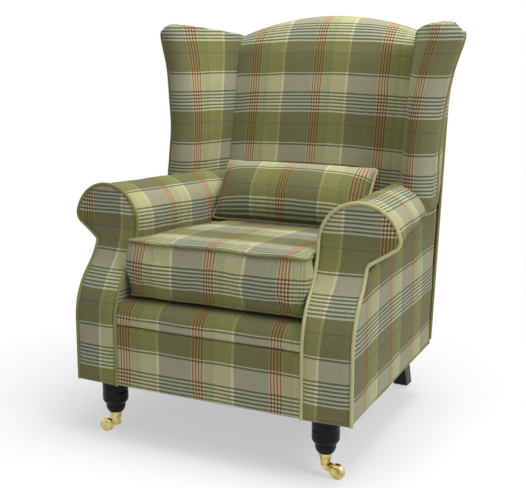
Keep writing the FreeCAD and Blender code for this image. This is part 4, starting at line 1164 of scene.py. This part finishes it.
def setPlaces(piece, places):
    piece.data.vertices.foreach_set("co", places.astype(np.float32).ravel())
    piece.data.update()


def inflate(piece, pressure, cap, bend):  # no point moves further than the cap
    start = placesOf(piece.data)
    bpy.context.view_layer.objects.active = piece
    cloth = piece.modifiers.new("swell", "CLOTH")
    settings = cloth.settings
    settings.quality = swelling["quality"]
    settings.mass = swelling["mass"]
    settings.tension_stiffness = swelling["stretch"]
    settings.compression_stiffness = swelling["stretch"]
    settings.shear_stiffness = swelling["stretch"] / 3
    settings.bending_stiffness = bend
    settings.use_pressure = True
    settings.uniform_pressure_force = pressure
    settings.effector_weights.gravity = 0
    cloth.collision_settings.use_collision = False
    cloth.point_cache.frame_start = 1
    cloth.point_cache.frame_end = swelling["frames"]
    for step in range(1, swelling["frames"] + 1):
        scene.frame_set(step)
    swelled = piece.evaluated_get(bpy.context.evaluated_depsgraph_get())
    move = placesOf(swelled.to_mesh()) - start
    swelled.to_mesh_clear()
    piece.modifiers.remove(cloth)
    far = np.linalg.norm(move, axis=1)
    setPlaces(piece, start + move * np.minimum(1, cap / np.maximum(far, 1e-9))[:, None])
    scene.frame_set(1)


def seamIndices(piece, points):  # vertices of the mesh that lie on a seam, in order
    places = placesOf(piece.data)
    wanted = np.array(points) - np.array([0, chair["setback"], 0])
    return [int(np.argmin(((places - w) ** 2).sum(1))) for w in wanted]


# Easing smooths the seam so many times, and red is where a red stripe stands
def pipeSeam(name, places, body, radius, easing, lift=0.0, band="pale", red=None):
    path = places + (0, chair["setback"], 0)
    for _ in range(easing):
        path = (np.roll(path, 1, 0) + 2 * path + np.roll(path, -1, 0)) / 4
    path[:, 2] += lift
    store = newStore()
    addTube(store, path, radius, band, closed=True, lead=None if red is None else path[0, 0] - red)
    dress(makeObject(name, store), pipingCloth, body)


seat = {
    "front": 0.035,
    "back": 0.526,
    "low": 0.3545,
    "high": 0.482,
    "gap": 0.001,
    "crown": 0.010,
    "keepCrown": 0.45,   # share of the swelled crown that stays
    "lean": 0.004,       # how far the front face stands over the lip
    "bulge": 0.013,
    "droop": 0.001,
    "spread": 0.009,     # the front corners spread over the arm facings
    "spreadFrom": (0.19, 0.235),
    "sink": 0.012,       # the top falls a little toward the back
    "pair": 0.4885,
    "warp": -0.013,
    "warpScale": 0.965,
    "topStart": 0.100,
    "corner": 0.013,
    "crowding": 0.92,    # the mesh is closer near the edges
    "side": 0.0008,      # clearance to the arms, and how far the front may pass them
    "past": 0.012,
    "pressure": 3.0,
    "cap": 0.016,
    "bend": 2.0,
    "nearFront": (0.10, 0.04),     # where y lets it pass the arms, and hang over the lip
    "overhang": (0.10, 0.03),
    "flank": 0.236,
    "ahead": 0.012,
    "sinkFrom": (0.12, 0.50),
    "topOnly": (0.40, 0.47),
    "lowOnly": (0.44, 0.36),
    "swellFrom": (0.45, 0.48),
    "wallBulge": 0.002,
    "swells": [(0.0012, 0.12, 81), (0.0006, 0.035, 82)],
    "piping": 0.0038,
    "lifts": {"Top": 0.0008, "Bottom": 0.002},
}


def seatPlan(a, b):  # square -1..1 to the cushion's plan with eased corners
    y = seat["front"] + (b + 1) / 2 * (seat["back"] - seat["front"])
    ease = seat["corner"] * 0.5 * (np.abs(a) * np.abs(b)) ** 10
    return a * (across(0, y) - seat["gap"]) - np.sign(a) * ease, y - np.sign(b) * ease


def shapeSeat(co):  # what weight, the arms and the lip do to the swelled cushion
    x, y, z = co.T
    y += chair["setback"]
    nearFront = smoothStep(*seat["nearFront"], y)
    limit = across(0, y) - seat["side"] + seat["past"] * nearFront
    x[:] = np.clip(x, -limit, limit)
    z[:] = np.maximum(z, seat["low"] - 0.001)
    z[:] = np.where(z > seat["high"], seat["high"] + (z - seat["high"]) * seat["keepCrown"], z)
    overhang = smoothStep(*seat["overhang"], y)
    rounding = np.sin(np.clip((z - seat["low"]) / (seat["high"] - seat["low"]), 0, 1) ** 0.8 * pi)
    flank = 1 - np.clip(np.abs(x) / seat["flank"], 0, 1) ** 5
    y -= (seat["lean"] + seat["bulge"] * rounding * flank) * overhang
    ahead = facingDepth(z) + seat["ahead"] - y
    outward = smoothStep(*seat["spreadFrom"], np.abs(x))
    x += np.sign(x) * seat["spread"] * smoothStep(0, 0.02, ahead) * outward
    z -= seat["sink"] * smoothStep(*seat["sinkFrom"], y) * smoothStep(*seat["topOnly"], z)
    z -= seat["droop"] * overhang * smoothStep(*seat["lowOnly"], z)
    y -= chair["setback"]
    z += uneven(co, seat["swells"]) * smoothStep(*seat["swellFrom"], z)


def buildSeatCushion():
    n, k = 48, 13
    low, high = seat["low"], seat["high"]
    u = np.sin(np.linspace(-1, 1, n + 1) * pi / 2 * seat["crowding"]) / math.sin(pi / 2 * seat["crowding"])
    a, b = np.meshgrid(u, u)
    x, y = seatPlan(a, b)
    dome = seat["crown"] * (1 - a ** 2) * (1 - b ** 2)
    warp = (x - seat["warp"]) * seat["warpScale"]
    store = newStore()
    topCloth = np.stack([warp, y - seat["front"] - seat["topStart"]], -1)
    addPatch(store, np.stack([x, y, high + dome], -1), topCloth)
    addPatch(store, np.stack([x, y, 0 * x + low], -1), np.stack([warp, y], -1), flip=True)
    edge, one = u[:-1], np.ones(n)
    sides = ((edge, -one), (one, edge), (-edge, one), (-one, -edge))
    ring = np.concatenate([np.stack(pair, -1) for pair in sides])
    rx, ry = seatPlan(ring[:, 0], ring[:, 1])
    levels = np.linspace(low, high, k)
    wall = np.array([np.stack([rx, ry, 0 * rx + z], -1) for z in levels])
    out = ring * (np.abs(ring) > 0.999)
    wall[..., :2] += out * seat["wallBulge"] * np.sin(np.linspace(0, pi, k))[:, None, None]
    length = runLength(np.stack([np.r_[rx, rx[0]], np.r_[ry, ry[0]]], -1))
    length += seat["gap"] - across(0, seat["front"]) - seat["warp"]
    marks = np.array([np.stack([length * seat["warpScale"], 0 * length + z - seat["pair"]], -1)
                      for z in levels])
    addPatch(store, wall, marks, wrap=True)
    piece = makeObject("seatCushionCover", store)
    seams = {"Top": seamIndices(piece, wall[-1]), "Bottom": seamIndices(piece, wall[0])}
    inflate(piece, seat["pressure"], seat["cap"], seat["bend"])
    co = placesOf(piece.data)
    shapeSeat(co)
    setPlaces(piece, co)
    dress(piece, plaidCloth, "seat_cushion", "seat_cushion")
    for label, seam in seams.items():
        pipeSeam(f"seatPiping{label}", co[seam], "seat_cushion", seat["piping"], 2,
                 seat["lifts"][label], "olive", seat["warp"])


buildSeatCushion()
print("seat cushion built")


lumbar = {
    "width": 0.425,
    "tall": 0.168,
    "drop": 0.017,
    "start": 0.064,      # half thickness before it is swelled
    "waist": 0.02,
    "tilt": 33,
    "pressure": 2.0,
    "cap": 0.010,
    "bend": 0.6,
    "warp": -0.003,      # this piece was cut the other way up
    "pair": 0.043,
    "piping": 0.0036,
}


def buildLumbar():
    middle = np.array(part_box("lumbar_cushion")).mean(0) + (0, chair["setback"], -lumbar["drop"])
    a, b = np.meshgrid(np.linspace(-1, 1, 47), np.linspace(-1, 1, 25))
    x = a * lumbar["width"] / 2 * (1 - lumbar["waist"] * (1 - b ** 2))
    z = b * lumbar["tall"] / 2
    deep = lumbar["start"] * ((1 - np.abs(a) ** 3.2) * (1 - b ** 2)) ** 0.5
    tilt = math.radians(lumbar["tilt"])

    def lean(y):
        leaned = y * math.cos(tilt) + z * math.sin(tilt), -y * math.sin(tilt) + z * math.cos(tilt)
        return np.stack([x, *leaned], -1) + middle

    cloth = np.stack([lumbar["warp"] - x, lumbar["pair"] - z], -1)
    face = lean(-deep)
    store = newStore()
    addPatch(store, face, cloth)
    addPatch(store, lean(deep), cloth * (-1, 1), flip=True)
    rim = np.concatenate([face[0, :-1], face[:-1, -1], face[-1, ::-1][:-1], face[::-1, 0][:-1]])
    piece = makeObject("lumbarCover", store)
    seam = seamIndices(piece, rim)
    inflate(piece, lumbar["pressure"], lumbar["cap"], lumbar["bend"])
    dress(piece, plaidCloth, "lumbar_cushion", "lumbar_cushion")
    pipeSeam("lumbarPiping", placesOf(piece.data)[seam], "lumbar_cushion", lumbar["piping"], 1)


buildLumbar()
print("lumbar cushion built")


# Finishes of the pieces whose frame shape stays

finishes = {
    "timber": timber,
    "black_lacquer": lacquer,
    "lining_cloth": lining,
    "webbing_cloth": webbing,
    "spring_steel": springSteel,
    "zinc_steel": zinc,
    "brass": brass,
    "black_plastic": plastic,
}
slots = {row["node"]: row["material_slot"] for row in frame["record"]["subparts"]}
for nodeName, node in frame["nodes"].items():
    if slots[nodeName] in finishes:
        node.data.materials.clear()
        node.data.materials.append(finishes[slots[nodeName]])
print("frame finishes set")


# Floor and light

studio = {
    "size": 9.0,
    "floor": (0.93, 0.93, 0.93, 1),
    "near": 0.35,          # the floor fades to plain white between these distances from the chair
    "far": 1.15,
    "least": 0.5,
    "white": (1, 1, 1, 1),
    "ambient": 0.22,
    "aim": (0, 0, 0.5),
}
lamps = {
    "key": {"spot": (2.9, -1.1, 2.7), "size": 1.8, "power": 62},
    "front": {"spot": (-0.6, -3.4, 1.9), "size": 2.6, "power": 9},
    "top": {"spot": (0.4, 0.1, 3.0), "size": 2.0, "power": 72},
}


def buildFloor():
    mesh = bpy.data.meshes.new("studioFloor")
    s = studio["size"]
    mesh.from_pydata([(-s, -s, 0), (s, -s, 0), (s, s, 0), (-s, s, 0)], [], [(0, 1, 2, 3)])
    piece = bpy.data.objects.new("studioFloor", mesh)
    scene.collection.objects.link(piece)
    material, t, shader = newMaterial("paleFloor", {
        "Base Color": studio["floor"], "Roughness": 0.9, "Specular IOR Level": 0.0})
    where = t.node("ShaderNodeTexCoord").outputs["Object"]
    reach = t.node("ShaderNodeVectorMath", {0: where}, operation="LENGTH").outputs["Value"]
    fade = t.node("ShaderNodeMapRange", {0: reach, 1: studio["near"], 2: studio["far"], 3: studio["least"]},
                  interpolation_type="SMOOTHSTEP").outputs[0]
    glow = t.node("ShaderNodeEmission", {"Color": studio["white"]}).outputs[0]
    share = t.maths("MULTIPLY", t.seenPlainly(), fade)
    blend = t.node("ShaderNodeMixShader", {0: share, 1: shader.outputs[0], 2: glow})
    output = next(n for n in material.node_tree.nodes if n.type == "OUTPUT_MATERIAL")
    t.feed(output.inputs["Surface"], blend.outputs[0])
    mesh.materials.append(material)


def buildWorld():
    world = bpy.data.worlds.new("studio")
    scene.world = world
    world.use_nodes = True
    world.node_tree.nodes.clear()
    t = Tree(world.node_tree)
    ambient, white = (
        t.node("ShaderNodeBackground", {"Color": studio["white"], "Strength": strength}).outputs[0]
        for strength in (studio["ambient"], 1.0))
    blend = t.node("ShaderNodeMixShader", {0: t.seenPlainly(), 1: ambient, 2: white})
    t.node("ShaderNodeOutputWorld", {"Surface": blend.outputs[0]})


def placeLamp(name, lamp):
    data = bpy.data.lights.new(name, "AREA")
    data.shape = "DISK"
    data.size = lamp["size"]
    data.energy = lamp["power"]
    light = bpy.data.objects.new(name, data)
    light.location = lamp["spot"]
    light.rotation_euler = (Vector(studio["aim"]) - Vector(lamp["spot"])).to_track_quat("-Z", "Y").to_euler()
    scene.collection.objects.link(light)


buildFloor()
buildWorld()
for name, lamp in lamps.items():
    placeLamp(name, lamp)
print("floor and light set")
